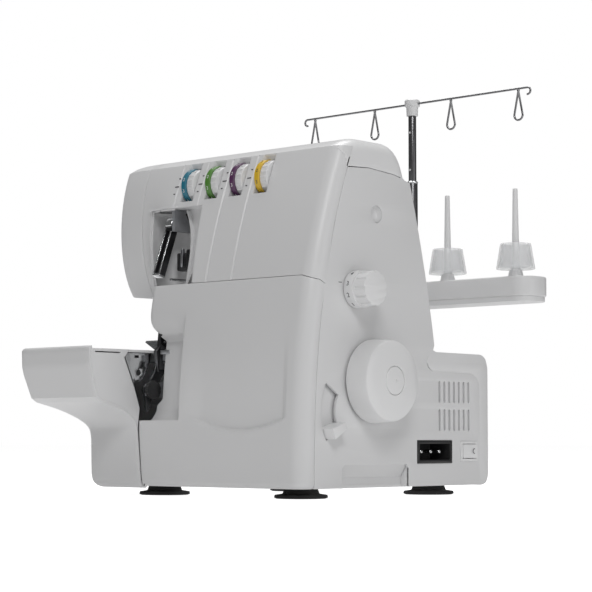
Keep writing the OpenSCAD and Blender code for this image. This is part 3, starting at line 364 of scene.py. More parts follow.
def moulded_grain():
    """Fine spark-eroded texture of a mould, with slow changes of tone over the part."""
    tree, source, sink = group("moulded_grain", [
        ("NodeSocketVector", "Place", None), ("NodeSocketFloat", "Grain", 2600.0),
        ("NodeSocketFloat", "Tone", 0.02)], [
        ("NodeSocketFloat", "Height"), ("NodeSocketFloat", "Tint"), ("NodeSocketFloat", "Gloss")])
    fine = noise(tree, source.outputs["Place"], source.outputs["Grain"], 3.0, 0.6)
    slow = noise(tree, source.outputs["Place"], 9.0, 3.0)
    shift = math_node(tree, "SUBTRACT", slow, 0.5)
    tint = math_node(tree, "MULTIPLY", shift, source.outputs["Tone"])
    tree.links.new(fine, sink.inputs["Height"])
    tree.links.new(math_node(tree, "ADD", tint, 1.0), sink.inputs["Tint"])
    tree.links.new(math_node(tree, "MULTIPLY", shift, 0.12), sink.inputs["Gloss"])
    return tree


def edge_wear():
    """Light rubbing on the ridges of a part, from its pointiness and a broken noise."""
    tree, source, sink = group("edge_wear", [
        ("NodeSocketVector", "Place", None), ("NodeSocketFloat", "Amount", 0.3)], [
        ("NodeSocketFloat", "Mask")])
    shape = tree.nodes.new("ShaderNodeNewGeometry").outputs["Pointiness"]
    ridge = math_node(tree, "MULTIPLY", math_node(tree, "SUBTRACT", shape, 0.53), 14.0, True)
    broken = noise(tree, source.outputs["Place"], 160.0, 4.0, 0.7)
    mask = math_node(tree, "MULTIPLY", ridge, broken)
    tree.links.new(math_node(tree, "MULTIPLY", mask, source.outputs["Amount"], True),
                   sink.inputs["Mask"])
    return tree


def settled_dust():
    """Faint dust on what faces up, broken into soft patches."""
    tree, source, sink = group("settled_dust", [
        ("NodeSocketVector", "Place", None), ("NodeSocketFloat", "Amount", 0.05)], [
        ("NodeSocketFloat", "Mask")])
    normal = tree.nodes.new("ShaderNodeNewGeometry").outputs["Normal"]
    split = tree.nodes.new("ShaderNodeSeparateXYZ")
    tree.links.new(normal, split.inputs[0])
    up = math_node(tree, "MAXIMUM", split.outputs["Z"], 0.0)
    patch = noise(tree, source.outputs["Place"], 40.0, 5.0, 0.6)
    mask = math_node(tree, "MULTIPLY", up, patch)
    tree.links.new(math_node(tree, "MULTIPLY", mask, source.outputs["Amount"], True),
                   sink.inputs["Mask"])
    return tree


GRAIN, WEAR, DUST = moulded_grain(), edge_wear(), settled_dust()


def place_group(tree, kind, vector, **values):
    node = tree.nodes.new("ShaderNodeGroup")
    node.node_tree = kind
    tree.links.new(vector, node.inputs["Place"])
    for label, value in values.items():
        node.inputs[label.capitalize()].default_value = value
    return node


def mix_colour(tree, factor, a, b, mode="MIX"):
    node = tree.nodes.new("ShaderNodeMix")
    node.data_type = "RGBA"
    node.blend_type = mode
    for socket, value in ((node.inputs[0], factor), (node.inputs[6], a), (node.inputs[7], b)):
        if isinstance(value, (int, float)):
            socket.default_value = value
        elif isinstance(value, tuple):
            socket.default_value = value + (1.0,)
        else:
            tree.links.new(value, socket)
    return node.outputs[2]


def finish_material(name, colour, rough, grain=2600.0, bump=0.06, tone=0.03, wear=0.2,
                    worn=(0.9, 0.9, 0.9), dust=0.06, metal=0.0, coat=0.0, brushed=None,
                    clear=0.0, ior=1.46):
    """A plastic, rubber, paint or metal with mould grain, rubbed ridges and faint dust."""
    mat = bpy.data.materials.new(name)
    mat.use_nodes = True
    tree = mat.node_tree
    shader = tree.nodes["Principled BSDF"]
    spot = tree.nodes.new("ShaderNodeTexCoord").outputs["Object"]
    where = spot
    if brushed:
        stretch = tree.nodes.new("ShaderNodeMapping")
        stretch.inputs["Scale"].default_value = brushed
        tree.links.new(spot, stretch.inputs["Vector"])
        where = stretch.outputs[0]
    texture = place_group(tree, GRAIN, where, grain=grain, tone=tone)
    rubbed = place_group(tree, WEAR, spot, amount=wear)
    dusty = place_group(tree, DUST, spot, amount=dust)
    tinted = tree.nodes.new("ShaderNodeVectorMath")
    tinted.operation = "SCALE"
    tinted.inputs[0].default_value = colour
    tree.links.new(texture.outputs["Tint"], tinted.inputs["Scale"])
    edge = mix_colour(tree, rubbed.outputs["Mask"], tinted.outputs[0], worn)
    last = mix_colour(tree, dusty.outputs["Mask"], edge, (0.62, 0.6, 0.57))
    tree.links.new(last, shader.inputs["Base Color"])
    tree.links.new(math_node(tree, "ADD", texture.outputs["Gloss"], rough, True),
                   shader.inputs["Roughness"])
    bump_node = tree.nodes.new("ShaderNodeBump")
    bump_node.inputs["Strength"].default_value = bump
    bump_node.inputs["Distance"].default_value = 0.0002
    tree.links.new(texture.outputs["Height"], bump_node.inputs["Height"])
    tree.links.new(bump_node.outputs[0], shader.inputs["Normal"])
    shader.inputs["Metallic"].default_value = metal
    shader.inputs["Coat Weight"].default_value = coat
    shader.inputs["Coat Roughness"].default_value = 0.12
    shader.inputs["IOR"].default_value = ior
    shader.inputs["Transmission Weight"].default_value = clear
    mat.diffuse_color = colour + (1.0,)
    return mat


SHELL = finish_material("shell_white", (0.71, 0.71, 0.715), 0.36, 2400, 0.05, 0.025, 0.1)
TOP_SHELL = finish_material("shell_cap", (0.76, 0.76, 0.765), 0.32, 2400, 0.05, 0.025, 0.1)
KNOB = finish_material("knob_white", (0.78, 0.78, 0.785), 0.3, 2600, 0.05, 0.02, 0.15)
RUBBER = finish_material("rubber_black", (0.018, 0.018, 0.019), 0.62, 900, 0.25, 0.2, 0.35,
                         (0.1, 0.1, 0.1), 0.12)
BLACK = finish_material("black_plastic", (0.012, 0.012, 0.013), 0.35, 1700, 0.12, 0.1, 0.4,
                        (0.12, 0.12, 0.12), 0.05)
BLACK_STEEL = finish_material("black_steel", (0.03, 0.03, 0.033), 0.33, 500, 0.15, 0.2, 0.6,
                              (0.4, 0.4, 0.42), 0.03, metal=0.6, brushed=(1, 1, 9))
STEEL = finish_material("steel", (0.55, 0.56, 0.58), 0.3, 420, 0.12, 0.1, 0.3,
                        (0.8, 0.8, 0.82), 0.03, metal=1.0, brushed=(9, 1, 1))
BRIGHT = finish_material("bright_steel", (0.78, 0.79, 0.8), 0.16, 350, 0.06, 0.08, 0.2,
                         (0.9, 0.9, 0.9), 0.02, metal=1.0, brushed=(1, 1, 10))
CAST = finish_material("cast_frame", (0.36, 0.37, 0.39), 0.55, 600, 0.5, 0.15, 0.4,
                       (0.6, 0.6, 0.62), 0.06, metal=0.75)
BRONZE = finish_material("bronze", (0.55, 0.36, 0.16), 0.42, 900, 0.3, 0.15, 0.3,
                         (0.75, 0.55, 0.3), 0.03, metal=1.0)
TUBE = finish_material("tube_dark", (0.14, 0.14, 0.145), 0.3, 420, 0.08, 0.1, 0.3,
                       (0.5, 0.5, 0.52), 0.03, metal=0.85, brushed=(12, 12, 1))
WIRE = finish_material("wire_steel", (0.3, 0.3, 0.31), 0.2, 350, 0.06, 0.08, 0.2,
                       (0.6, 0.6, 0.6), 0.02, metal=1.0)
CLEAR = finish_material("cone_clear", (0.93, 0.94, 0.95), 0.2, 1500, 0.05, 0.02, 0.1,
                        clear=0.4, dust=0.02, ior=1.3)
CLEAR.node_tree.nodes["Principled BSDF"].inputs["Alpha"].default_value = 0.42
TEAL = finish_material("dial_teal", (0.0, 0.16, 0.24), 0.34, 2200, 0.06, 0.05, 0.2)
GREEN = finish_material("dial_green", (0.07, 0.23, 0.02), 0.34, 2200, 0.06, 0.05, 0.2)
PURPLE = finish_material("dial_purple", (0.08, 0.012, 0.08), 0.34, 2200, 0.06, 0.05, 0.2)
YELLOW = finish_material("dial_yellow", (0.72, 0.46, 0.01), 0.34, 2200, 0.06, 0.05, 0.2)
INK = finish_material("print_grey", (0.06, 0.06, 0.065), 0.5, 1200, 0.05, 0.1, 0.0, dust=0.0)
PALE_INK = finish_material("print_white", (0.8, 0.8, 0.8), 0.45, 1200, 0.05, 0.05, 0.0, dust=0.0)
BELT = finish_material("belt_rubber", (0.03, 0.028, 0.026), 0.7, 700, 0.35, 0.2, 0.3,
                       (0.12, 0.12, 0.12), 0.1)
DIAL_FINISH = [TEAL, GREEN, PURPLE, YELLOW]


# ---------------------------------------------------------------- front door
def cover_seam_x(z):
    """Where the door meets the left cover, low on the front."""
    return -75.0 - 5.0 * min(max((z - BODY_Z) / 48.0, 0), 1)


def door_left(z):
    if z <= LEDGE_Z:
        return cover_seam_x(z) + 0.45
    if z < 137.0:
        return -74.0 + 6.6 * blend01((z - 76.0) / 7.0)
    if z < 151.0:
        return -78.0 + 15 * (1 - math.sqrt(max(0.0, 1 - ((151 - z) / 14.0) ** 2)))
    return -78.0


SCOOP_DEPTH = 15.5


def seam_drop(x, y, z):
    """The seam over the door dips where it runs round the right-hand corner."""
    turn = min(max((x - RIGHT_X + CORNER_R) / CORNER_R, 0), 1) * 4.0
    turn += min(max((y - face_y(z) - CORNER_R * 0.6) / 8.0, 0), 1) * 4.0 if x > RIGHT_X - 4 else 0
    return turn * max(0.0, 1 - abs(z - DOOR_Z) / 24.0)


def scoop_depth(x, z):
    """How far the scoop and the guard's underside lie behind the front face."""
    if x >= GUARD_X or z <= LEDGE_Z or z > 160:
        return 0.0
    t = min((GUARD_X - x) / 17.0, 1.0)
    across = math.sqrt(max(0.0, 1 - (1 - t) ** 2))
    if z < 131:
        low = min((z - LEDGE_Z) / 12.0, 1.0)
        deep = SCOOP_DEPTH - 7.0 * (1 - low) ** 2
    elif z < 138:
        deep = 6.0 + (SCOOP_DEPTH - 6.0) * (1 - blend01((z - 131) / 7.0))
    else:
        deep = 6.0 * ((160 - z) / 22.0) ** 2
    return deep * across


def grip_depth(x, z):
    """The hand dish in the door: a smiling lip below, fading upward."""
    lip = 54.0 + 8.0 * ((x - 38.0) / 46.0) ** 2
    side = min((x + 26.0) / 22.0, (92.0 - x) / 7.0, 1.0)
    if side <= 0 or z < lip:
        return 0.0
    rise = blend01((z - lip) / 2.4)
    fade = 1 - blend01((z - lip) / 84.0)
    return 3.4 * rise * fade * blend01(side)


def foot_round(z, radius=5.0):
    """Pulls the bottom edge of the skin in on a round."""
    k = (BODY_Z + radius - z) / radius
    return radius * (1 - math.sqrt(max(0.0, 1 - k * k))) * 0.8 if k > 0 else 0.0


def right_wrap(y, pull, wrap):
    """Points of the rounded corner from the front face to the side seam."""
    r = CORNER_R
    points = [(RIGHT_X - r + (r - pull) * math.sin(a), y + r - (r - pull) * math.cos(a))
              for a in quarter(9)[1:]]
    return points + [(RIGHT_X - pull, y + wrap)]


def front_door():
    rows = []
    heights = [BODY_Z + 0.2] + steps(BODY_Z + 1, LEDGE_Z - 0.2, 1.5) + [LEDGE_Z - 0.2]
    heights += [LEDGE_Z + 0.01] + steps(LEDGE_Z + 1, DOOR_Z - 0.3, 1.5) + [DOOR_Z - 0.3]
    for z in heights:
        row = []
        y0, pull, left = face_y(z), foot_round(z), door_left(z)
        r, back = (0.8, 6.0) if z <= LEDGE_Z else (0.01, 0.02) if z < 137 else (5.0, 22.0)
        edge = y0 + scoop_depth(left + r, z) + pull
        row += [(left + pull, edge + back), (left + pull, edge + r)]
        row += [(left + r - (r - pull) * math.cos(a), edge + r - r * math.sin(a))
                for a in quarter(4)[1:]]
        n = 30
        for i in range(1, n):
            x = left + r + (GUARD_X - left - r) * i / n
            row.append((x, y0 + pull + scoop_depth(x, z)))
        for x in steps(GUARD_X, RIGHT_X - CORNER_R, 1.5) + [RIGHT_X - CORNER_R]:
            row.append((x, y0 + pull + grip_depth(x, z)))
        row += right_wrap(y0, pull, WRAP_Y - SEAM / 2)
        rows.append([(x, y, z - seam_drop(x, y, z)) for x, y in row])
    door = sheet_piece("front_door_skin", rows)
    fit(door, "door", SHELL, ("front_door",))


# ---------------------------------------------------------------- head and top
WINDOW_TOP = 249.0
WINDOW_LEFT = -104.5


def front_face_y(x, z):
    """The front face: the barrel of the head runs into the flatter face by the dials."""
    k = blend01((x - HEAD_SEAM_X) / 44.0)
    return head_y(z) + (face_y(z) - head_y(z)) * k


def recess_edge(z):
    return -30.0 - 7.0 * (z - DOOR_Z) / (WINDOW_TOP - DOOR_Z)


def window_right(z):
    t = max(0.0, (z - DOOR_Z) / (WINDOW_TOP - DOOR_Z))
    return -51.0 - 19.0 * t ** 3


GROOVES = [(-72.0, WINDOW_TOP), (-42.0, WINDOW_TOP), (-12.5, DOOR_Z), (17.5, DOOR_Z)]


def groove_depth(x, z):
    for middle, low in GROOVES:
        if z >= low - 0.01 and -1.6 < x - middle < 0.8:
            return 2.0 * (x - middle + 1.6) / 1.8 if x - middle <= 0.2 else 0.0
    return 0.0


def finger_depth(x, z):
    """The hollow over each dial slot that lets a finger turn the dial."""
    for middle in DIAL_X:
        if abs(x - middle) < 7.6 and z > 278:
            side = min(1.0, (7.6 - abs(x - middle)) / 1.2)
            return 4.5 * side * blend01(1 - (z - 282) / 8.5) if z > 282 else 4.5 * side
    return 0.0


def recess_depth(x, z):
    if z > WINDOW_TOP or x > recess_edge(z) or x <= WINDOW_LEFT:
        return 0.0
    t = min((recess_edge(z) - x) / (recess_edge(z) - window_right(z)), 1.0)
    return 16.0 * (1 - (1 - t) ** 2.4)


def front_cover():
    xs = steps(HEAD_SEAM_X + SEAM, WINDOW_LEFT, 1.6)
    mid = steps(WINDOW_LEFT, -75.0, 1.6)
    marks = set()
    for middle, _ in GROOVES:
        marks |= {middle + d for d in (-2.2, -1.6, -0.7, 0.2, 0.45, 1.2)}
    for middle in DIAL_X:
        marks |= {middle - 7.6, middle + 7.6}
    plain = [x for x in steps(-75.0, RIGHT_X - CORNER_R, 1.5)
             if all(abs(x - m) > 0.5 for m in marks)]
    xs = xs + mid + sorted(set(plain) | marks) + [RIGHT_X - CORNER_R]
    zs = [HEAD_Z] + steps(HEAD_Z + 1, DOOR_Z + SEAM / 2, 1.4)
    zs += steps(DOOR_Z + SEAM / 2, WINDOW_TOP, 1.5) + [WINDOW_TOP, WINDOW_TOP + 0.02]
    zs += steps(WINDOW_TOP + 1, 254.0, 1.4) + steps(254.0, 283.5, 1.4)
    zs += steps(283.5, SHOULDER_Z, 0.9) + [SHOULDER_Z]
    rows, spots = [], []
    for z in zs:
        inside = z <= WINDOW_TOP + 0.005
        row, cells = [], []
        lo, hi = WINDOW_LEFT, window_right(z)
        for x in xs:
            px = x
            if inside and WINDOW_LEFT <= x <= -31.0:
                # the columns over the window close up to its right-hand edge and the recess
                share = (x - WINDOW_LEFT) / (-31.0 - WINDOW_LEFT)
                px = x if share < 0.5 else None
                if share >= 0.5:
                    px = hi + (recess_edge(z) - hi) * (share - 0.5) / 0.5
                else:
                    px = lo
            elif inside and x > -31.0:
                k = (x + 31.0) / (RIGHT_X - CORNER_R + 31.0)
                px = recess_edge(z) + (RIGHT_X - CORNER_R - recess_edge(z)) * k
                if x > -15:
                    px = x
            y = front_face_y(px, z) + groove_depth(px, z)
            y += recess_depth(px, z) if inside else finger_depth(px, z)
            row.append((px, y))
            cells.append(x)
        side = WRAP_Y if z < DOOR_Z + 1 else side_seam_y(z) - row[-1][1]
        wrap = right_wrap(row[-1][1], 0.0, side - SEAM / 2)
        row += wrap
        cells += [RIGHT_X] * len(wrap)
        rows.append([(x, y, z - seam_drop(x, y, z)) for x, y in row])
        spots.append(cells)

    def keep(r, c):
        x = (spots[r][c] + spots[r][c + 1]) / 2
        z = (zs[r] + zs[r + 1]) / 2
        if z < DOOR_Z + SEAM / 2 and x > WINDOW_LEFT:
            return False
        if z < WINDOW_TOP and WINDOW_LEFT < x:
            share = (x - WINDOW_LEFT) / (-31.0 - WINDOW_LEFT)
            if share < 0.5:
                return False
        return not any(abs(x - m) < 7.6 and 254.0 < z < 283.5 for m in DIAL_X)

    cover = sheet_piece("front_cover_skin", rows, keep, even=False)
    fit(cover, "root", SHELL, ("front_cover",))


def side_seam_y(z):
    """The seam between the front cover and the side cover on the right-hand face."""
    low = face_y(DOOR_Z) + WRAP_Y
    line = low + (SHOULDER_Y + 3 - low) * (z - DOOR_Z) / (SHOULDER_Z - 17.5 - DOOR_Z)
    return max(line, face_y(z) + CORNER_R + 1.5)


def top_outline():
    """Side outline of the top cap, front to back, as (y, z) points."""
    points = [bezier(BROW_CURVE, i / 10) for i in range(11)]
    points += [(SHOULDER_Y + 28 + 29 * i / 6, CREST_Z) for i in range(1, 6)]
    points += [bezier(NAPE_CURVE, i / 12) for i in range(13)]
    points += [bezier(SLOPE_CURVE, t) for t in (0.02, 0.035)]
    return points


CAP_SEAM = [(SHOULDER_Y + 3, SHOULDER_Z - 17.5), (SHOULDER_Y + 34, SHOULDER_Z - 16),
            (SLOPE_TOP_Y - 20, SHOULDER_Z - 18.5), (SLOPE_TOP_Y + 8, SHOULDER_Z - 24)]


def cap_seam_z(y):
    for (y0, z0), (y1, z1) in zip(CAP_SEAM, CAP_SEAM[1:]):
        if y <= y1:
            return z0 + (z1 - z0) * (y - y0) / (y1 - y0)
    return CAP_SEAM[-1][1]


def inward(points, i, d):
    """The outline's point i moved d into the body."""
    a, b = points[max(i - 1, 0)], points[min(i + 1, len(points) - 1)]
    u = Vector((b[0] - a[0], b[1] - a[1])).normalized()
    return points[i][0] + u[1] * d, points[i][1] - u[0] * d


def top_cover():
    line = top_outline()
    r = CORNER_R
    rows = []
    for i, (y, z) in enumerate(line):
        row = [(x, y, z) for x in steps(HEAD_SEAM_X + SEAM, RIGHT_X - r, 12) + [RIGHT_X - r]]
        for a in quarter(9)[1:]:
            py, pz = inward(line, i, r * (1 - math.cos(a)))
            if i > len(line) - 6:
                pz = max(pz, cap_seam_z(py) + 0.3)
            row.append((RIGHT_X - r + r * math.sin(a), py, pz))
        py, pz = row[-1][1], row[-1][2]
        for k in (0.5, 1.0):
            row.append((RIGHT_X, py, pz + (cap_seam_z(py) + SEAM / 2 - pz) * k))
        rows.append(row)
    cap = sheet_piece("top_cover_skin", rows)
    fit(cap, "root", TOP_SHELL, ("top_cover",))


def head_outline():
    """Closed side outline of the head's left end, as (y, z) points."""
    points = [bezier(HEAD_CURVE, i / 22) for i in range(23)]
    points += top_outline()[1:-2]
    slope = [bezier(SLOPE_CURVE, i / 24) for i in range(25)]
    points += [p for p in slope if p[1] > HEAD_Z + 3]
    back = points[-1][0]
    points += [(back - 1.0, HEAD_Z + 1.2), (back - 3.5, HEAD_Z)]
    points += [(back - 3.5 + (-57 - back + 3.5) * i / 8, HEAD_Z) for i in range(1, 9)]
    return points


END_PULL = 0.03


def face_cover():
    """The head's rounded left end."""
    line = head_outline()
    cy = sum(p[0] for p in line) / len(line)
    cz = (HEAD_Z + CREST_Z) / 2
    rows = []
    deep = HEAD_SEAM_X - HEAD_LEFT_X
    for a in quarter(12):
        x = HEAD_SEAM_X - deep * math.sin(a)
        k = 1 - END_PULL * (1 - math.cos(a)) ** 1.4
        rows.append([(x, cy + (y - cy) * k, cz + (z - cz) * k) for y, z in line + line[:1]])
    for k in (0.6, 0.3, 0.0):
        k *= 1 - END_PULL
        rows.append([(HEAD_LEFT_X, cy + (y - cy) * k, cz + (z - cz) * k)
                     for y, z in line + line[:1]])
    cover = sheet_piece("face_cover_skin", rows, wall=2.0)
    fit(cover, "root", SHELL, ("face_cover",))


front_door()
front_cover()
top_cover()
face_cover()


# ---------------------------------------------------------------- left cover and its tray
TRAY_FRONT_Y = -168.0
TRAY_SIDE = [(-159.5, 82.5), (-138.0, 77.5), (-116.6, 72.5), (-FRONT_Y, 57.0)]
TRAY_LEFT = [(-165.0, 80.0), (-153.0, 64.0), (-140.0, 66.0), (-139.0, 46.0)]
COVER_LOW_Z = 8.6
COVER_BACK_Y = 15.5
PLATE_X0, PLATE_Y0 = -124.5, -95.5


def tray_rows():
    """Front edge (y, z) of the left cover from the top of the tray to the bottom of the column."""
    rows = [(TRAY_FRONT_Y + 1.2 * (1 - math.sin(a)), BED_Z - 1.2 * (1 - math.cos(a)))
            for a in quarter(3)]
    rows += [(TRAY_FRONT_Y + 0.5 * i / 5, BED_Z - 1.2 - 12.8 * i / 5) for i in range(1, 6)]
    rows += [(TRAY_FRONT_Y + 0.5 + 7.0 * i / 8, 110.5 - 26.0 * i / 8) for i in range(1, 9)]
    rows += [bezier(TRAY_SIDE, i / 22) for i in range(1, 23)]
    rows += [(-FRONT_Y, z) for z in steps(54.0, COVER_LOW_Z + 6, 3)]
    rows += [(-FRONT_Y + 5 * (1 - math.cos(a)), COVER_LOW_Z + 5 * (1 - math.sin(a)))
             for a in quarter(4)]
    return rows


def tray_left_x(z):
    """Left edge of the cover at height z."""
    if z > 80.0:
        return -170.0 + 5.0 * max(0.0, (104.0 - z) / 24.0)
    if z > 46.0:
        a, b = 0.0, 1.0
        for _ in range(20):
            m = (a + b) / 2
            a, b = (m, b) if bezier(TRAY_LEFT, m)[1] > z else (a, m)
        return bezier(TRAY_LEFT, (a + b) / 2)[0]
    if z > 19.0:
        return -139.0 + 0.6 * (46.0 - z) / 27.0
    return -138.4 + 9.0 * (1 - math.sqrt(max(0.0, 1 - ((19.0 - z) / 10.4) ** 2)))


def left_cover():
    rows = []
    for i, (y, z) in enumerate(tray_rows()):
        pull = max(0.0, 1.2 * (1 - i / 3)) if i < 4 else 0.0
        left = tray_left_x(z) + pull
        right = -80.0 if z > 56 else cover_seam_x(z) + 0.1
        r = 4.0
        row = [(right + (left + r - right) * k / 12, y) for k in range(13)]
        row += [(left + r - r * math.sin(a), y + r - r * math.cos(a)) for a in quarter(5)[1:]]
        y0 = row[-1][1]
        row += [(left, y0 + (COVER_BACK_Y - y0) * k / 10) for k in range(1, 11)]
        rows.append([(px, py, z) for px, py in row])
    skin = sheet_piece("left_cover_skin", rows, edge=0.25, flip=True)
    side = [(y, z) for y, z in tray_rows()[3:] if z > 56.0]
    side += [(-112.5, 74.5), (-118.6, 91.5), (-130.6, 117.5), (-124.6, BED_Z), (-166.8, BED_Z)]
    groove = [(-163.5, 121.0), (-135.0, 121.0), (-135.0, 122.0), (-163.5, 122.0)]
    end = plate("tray_end_wall", side, [groove], onto_x(-81.1), 2.2, 0.35)
    deck = [(-168.8, TRAY_FRONT_Y + 1.3), (-81.0, TRAY_FRONT_Y + 1.3), (-81.0, PLATE_Y0),
            (PLATE_X0, PLATE_Y0), (PLATE_X0, COVER_BACK_Y), (-168.8, COVER_BACK_Y)]
    top = plate("tray_deck", deck, [], onto_z(BED_Z - 1.1), 2.2, 0.25)
    fit(skin, "side_door", SHELL, ("left_cover",))
    fit(end, "side_door", SHELL)
    fit(top, "side_door", SHELL)
    back = plate("tray_back_wall", [(-165.0, BED_Z - 1), (-142.0, BED_Z - 1), (-142.0, 56.0),
                                    (-150.0, 66.0), (-162.0, 84.0)], [], onto_y(14.4), 2.2)
    flange = plate("rear_cover_return", [(-138.3, 10.0), (-122.0, 10.0), (-122.0, BED_Z - 3),
                                         (-143.4, BED_Z - 3), (-143.4, 58.0), (-138.8, 47.0)], [],
                   onto_y(17.4), 1.6)
    fit(flange, "root", SHELL)
    fit(back, "side_door", SHELL)
    for z in (84.5, 108.5):
        knuckle = turned("hinge_knuckle_%d" % z, [(3.2, 0), (5.6, 0), (6, 0.4), (6, 11.6),
                                                  (5.6, 12), (3.2, 12), (3.2, 0)],
                         (-150.0, 20.0, z), "Z", 40)
        settle(knuckle)
        fit(knuckle, "side_door", SHELL)
    metal = [(-127.5, 121.6), (-97.0, 121.8), (-99.0, 112.5), (-104.8, 101.5), (-108.5, 98.0),
             (-117.0, 96.0), (-126.4, 116.5)]
    eye = [(-111.5 + 2.6 * math.cos(t / 3), 105.0 + 2.6 * math.sin(t / 3)) for t in range(19)]
    slit = [(-116.5, 117.6), (-111.5, 117.6), (-111.5, 119.8), (-116.5, 119.8)]
    shield = plate("knife_shield", metal, [eye, slit], onto_x(-83.2), 1.2, 0.25)
    fit(shield, "side_door", BRIGHT)


# ---------------------------------------------------------------- right side cover
VENT_STEP = 6.75
VENT_Y = [59.6 + VENT_STEP * i for i in range(7)]
VENT_Z = [55.0, 79.0]
VENT_W, VENT_H = 2.7, 18.6
SOCKET = (30.0, 77.4, 27.3, 47.0)
SWITCH = (89.5, 112.5, 29.0, 46.0)
NOTCH = (-66.0, 19.0, 27.0)
LEVER_YZ = (-48.0, 70.0)
HOLE_YZ, HOLE_R = (-22.2, 234.5), 7.2


def low_seam_y(z):
    return face_y(z) + WRAP_Y


def round_ring(centre, r, count=48):
    return [(centre[0] + r * math.cos(2 * math.pi * i / count),
             centre[1] + r * math.sin(2 * math.pi * i / count)) for i in range(count)]


def sector_ring(centre, r0, r1, a0, a1, count=20):
    outer = [(centre[0] + r1 * math.cos(math.radians(a0 + (a1 - a0) * i / count)),
              centre[1] + r1 * math.sin(math.radians(a0 + (a1 - a0) * i / count)))
             for i in range(count + 1)]
    inner = [(centre[0] + r0 * math.cos(math.radians(a1 + (a0 - a1) * i / count)),
              centre[1] + r0 * math.sin(math.radians(a1 + (a0 - a1) * i / count)))
             for i in range(count + 1)]
    return outer + inner


def slot_ring(y, z, w, h, n=5):
    """A vertical slot with round ends."""
    r = w / 2
    top = [(y + r - r * math.cos(math.pi * i / n), z + h - r + r * math.sin(math.pi * i / n))
           for i in range(n + 1)]
    low = [(y + r + r * math.cos(math.pi * i / n), z + r - r * math.sin(math.pi * i / n))
           for i in range(n + 1)]
    return top + low


def box_ring(y0, y1, z0, z1):
    return [(y0, z0), (y1, z0), (y1, z1), (y0, z1)]


REAR_SEAM = [(52.2, BED_Z - 1.2), (45.5, BED_Z - 6.0), (43.2, BED_Z - 11.0), (45.6, BED_Z - 15.6),
             (51.0, BED_Z - 18.4), (106.0, BED_Z - 19.6), (113.0, BED_Z - 22.6), (117.0, BED_Z - 29.0)]


def right_cover():
    front = [(low_seam_y(z) + SEAM / 2, z) for z in [BODY_Z + 0.3] + steps(14, DOOR_Z, 8)]
    front += [(side_seam_y(z) + SEAM / 2, z)
              for z in steps(DOOR_Z, SHOULDER_Z - 20, 7) + [SHOULDER_Z - 17.8]]
    slope = [bezier(SLOPE_CURVE, i / 60) for i in range(61)]
    cap = [(y, z - SEAM / 2) for y, z in CAP_SEAM[1:-1]]
    cap += [(y, z) for y, z in slope if cap_seam_z(y) - 3.0 < z < cap_seam_z(y)][:1]
    slope = [p for p in slope[::3] if p[1] < cap[-1][1] - 2 and p[1] > 124]
    rear = REAR_SEAM + [(117.6, BODY_Z + 0.3)]
    notch = [(NOTCH[1], BODY_Z + 0.3), (NOTCH[1], NOTCH[2] - 3), (NOTCH[1] - 3, NOTCH[2]),
             (NOTCH[0] + 3, NOTCH[2]), (NOTCH[0], NOTCH[2] - 3), (NOTCH[0], BODY_Z + 0.3)]
    holes = [round_ring(SHAFT_YZ, 9), round_ring(KNOB_YZ, 5, 24), round_ring(HOLE_YZ, HOLE_R),
             sector_ring(LEVER_YZ, 26.0, 44.0, 148, 212),
             box_ring(*SOCKET), box_ring(*SWITCH)]
    holes += [slot_ring(y, z, VENT_W, VENT_H) for y in VENT_Y for z in VENT_Z]
    cover = plate("right_cover_skin", front + cap + slope + rear + notch, holes,
                  onto_x(RIGHT_X - 1.24), 2.6, 0.28)
    fit(cover, "root", SHELL, ("right_cover",))
    dish = turned("panel_dish", [(HOLE_R - 0.3, -0.6), (HOLE_R - 0.9, -2.4), (5.2, -4.2),
                                 (2.6, -5.0), (0, -5.2), (0, -7.0), (5.6, -6.4),
                                 (HOLE_R + 1.2, -3.6), (HOLE_R + 1.2, -2.8), (HOLE_R, -2.8),
                                 (HOLE_R - 0.3, -0.6)], (RIGHT_X, *HOLE_YZ))
    fit(settle(dish), "root", SHELL)
    slope = [(RIGHT_X - 1.2, NOTCH[2] + 1.5), (RIGHT_X - 2.6, NOTCH[2] + 1.5),
             (RIGHT_X - 16.6, BODY_Z + 0.2), (RIGHT_X - 14.6, BODY_Z + 0.2)]
    cheek = [(RIGHT_X - 0.4, BODY_Z + 0.2), (RIGHT_X - 0.4, NOTCH[2] + 1.5),
             (RIGHT_X - 2.4, NOTCH[2] + 1.5), (RIGHT_X - 16.4, BODY_Z + 0.2)]
    for name, ring, y, wide in (("grip_slope", slope, (NOTCH[0] + NOTCH[1]) / 2, 84.6),
                                ("grip_cheek_1", cheek, NOTCH[0] - 1.0, 2.0),
                                ("grip_cheek_2", cheek, NOTCH[1] + 1.0, 2.0)):
        fit(plate(name, ring, [], onto_y(y), wide, 0.2), "root", SHELL)
    corner = [(117.0 + 11 * math.sin(a), BED_Z - 11 + 8.6 * math.cos(a)) for a in quarter(8)]
    low = [(128.4 - 7 * (1 - math.cos(a)), BODY_Z + 7.5 - 7 * math.sin(a)) for a in quarter(6)]
    flank = plate("rear_flank", [(56.5, BED_Z - 2.0)] + corner + low + [(118.1, BODY_Z + 0.5)]
                  + [(y + 0.45, z - 0.1) for y, z in REAR_SEAM[:3:-1]]
                  + [(y + 0.5, z + 0.5) for y, z in REAR_SEAM[3::-1]], [],
                  onto_x(RIGHT_X - 0.9), 1.7, 0.28)
    fit(flank, "root", SHELL)
    curtain = plate("slot_curtain", sector_ring(LEVER_YZ, 16.0, 47.0, 143, 262, 30), [],
                    onto_x(RIGHT_X - 5.0), 1.4, 0.2)
    fit(curtain, "feed_ratio", SHELL)


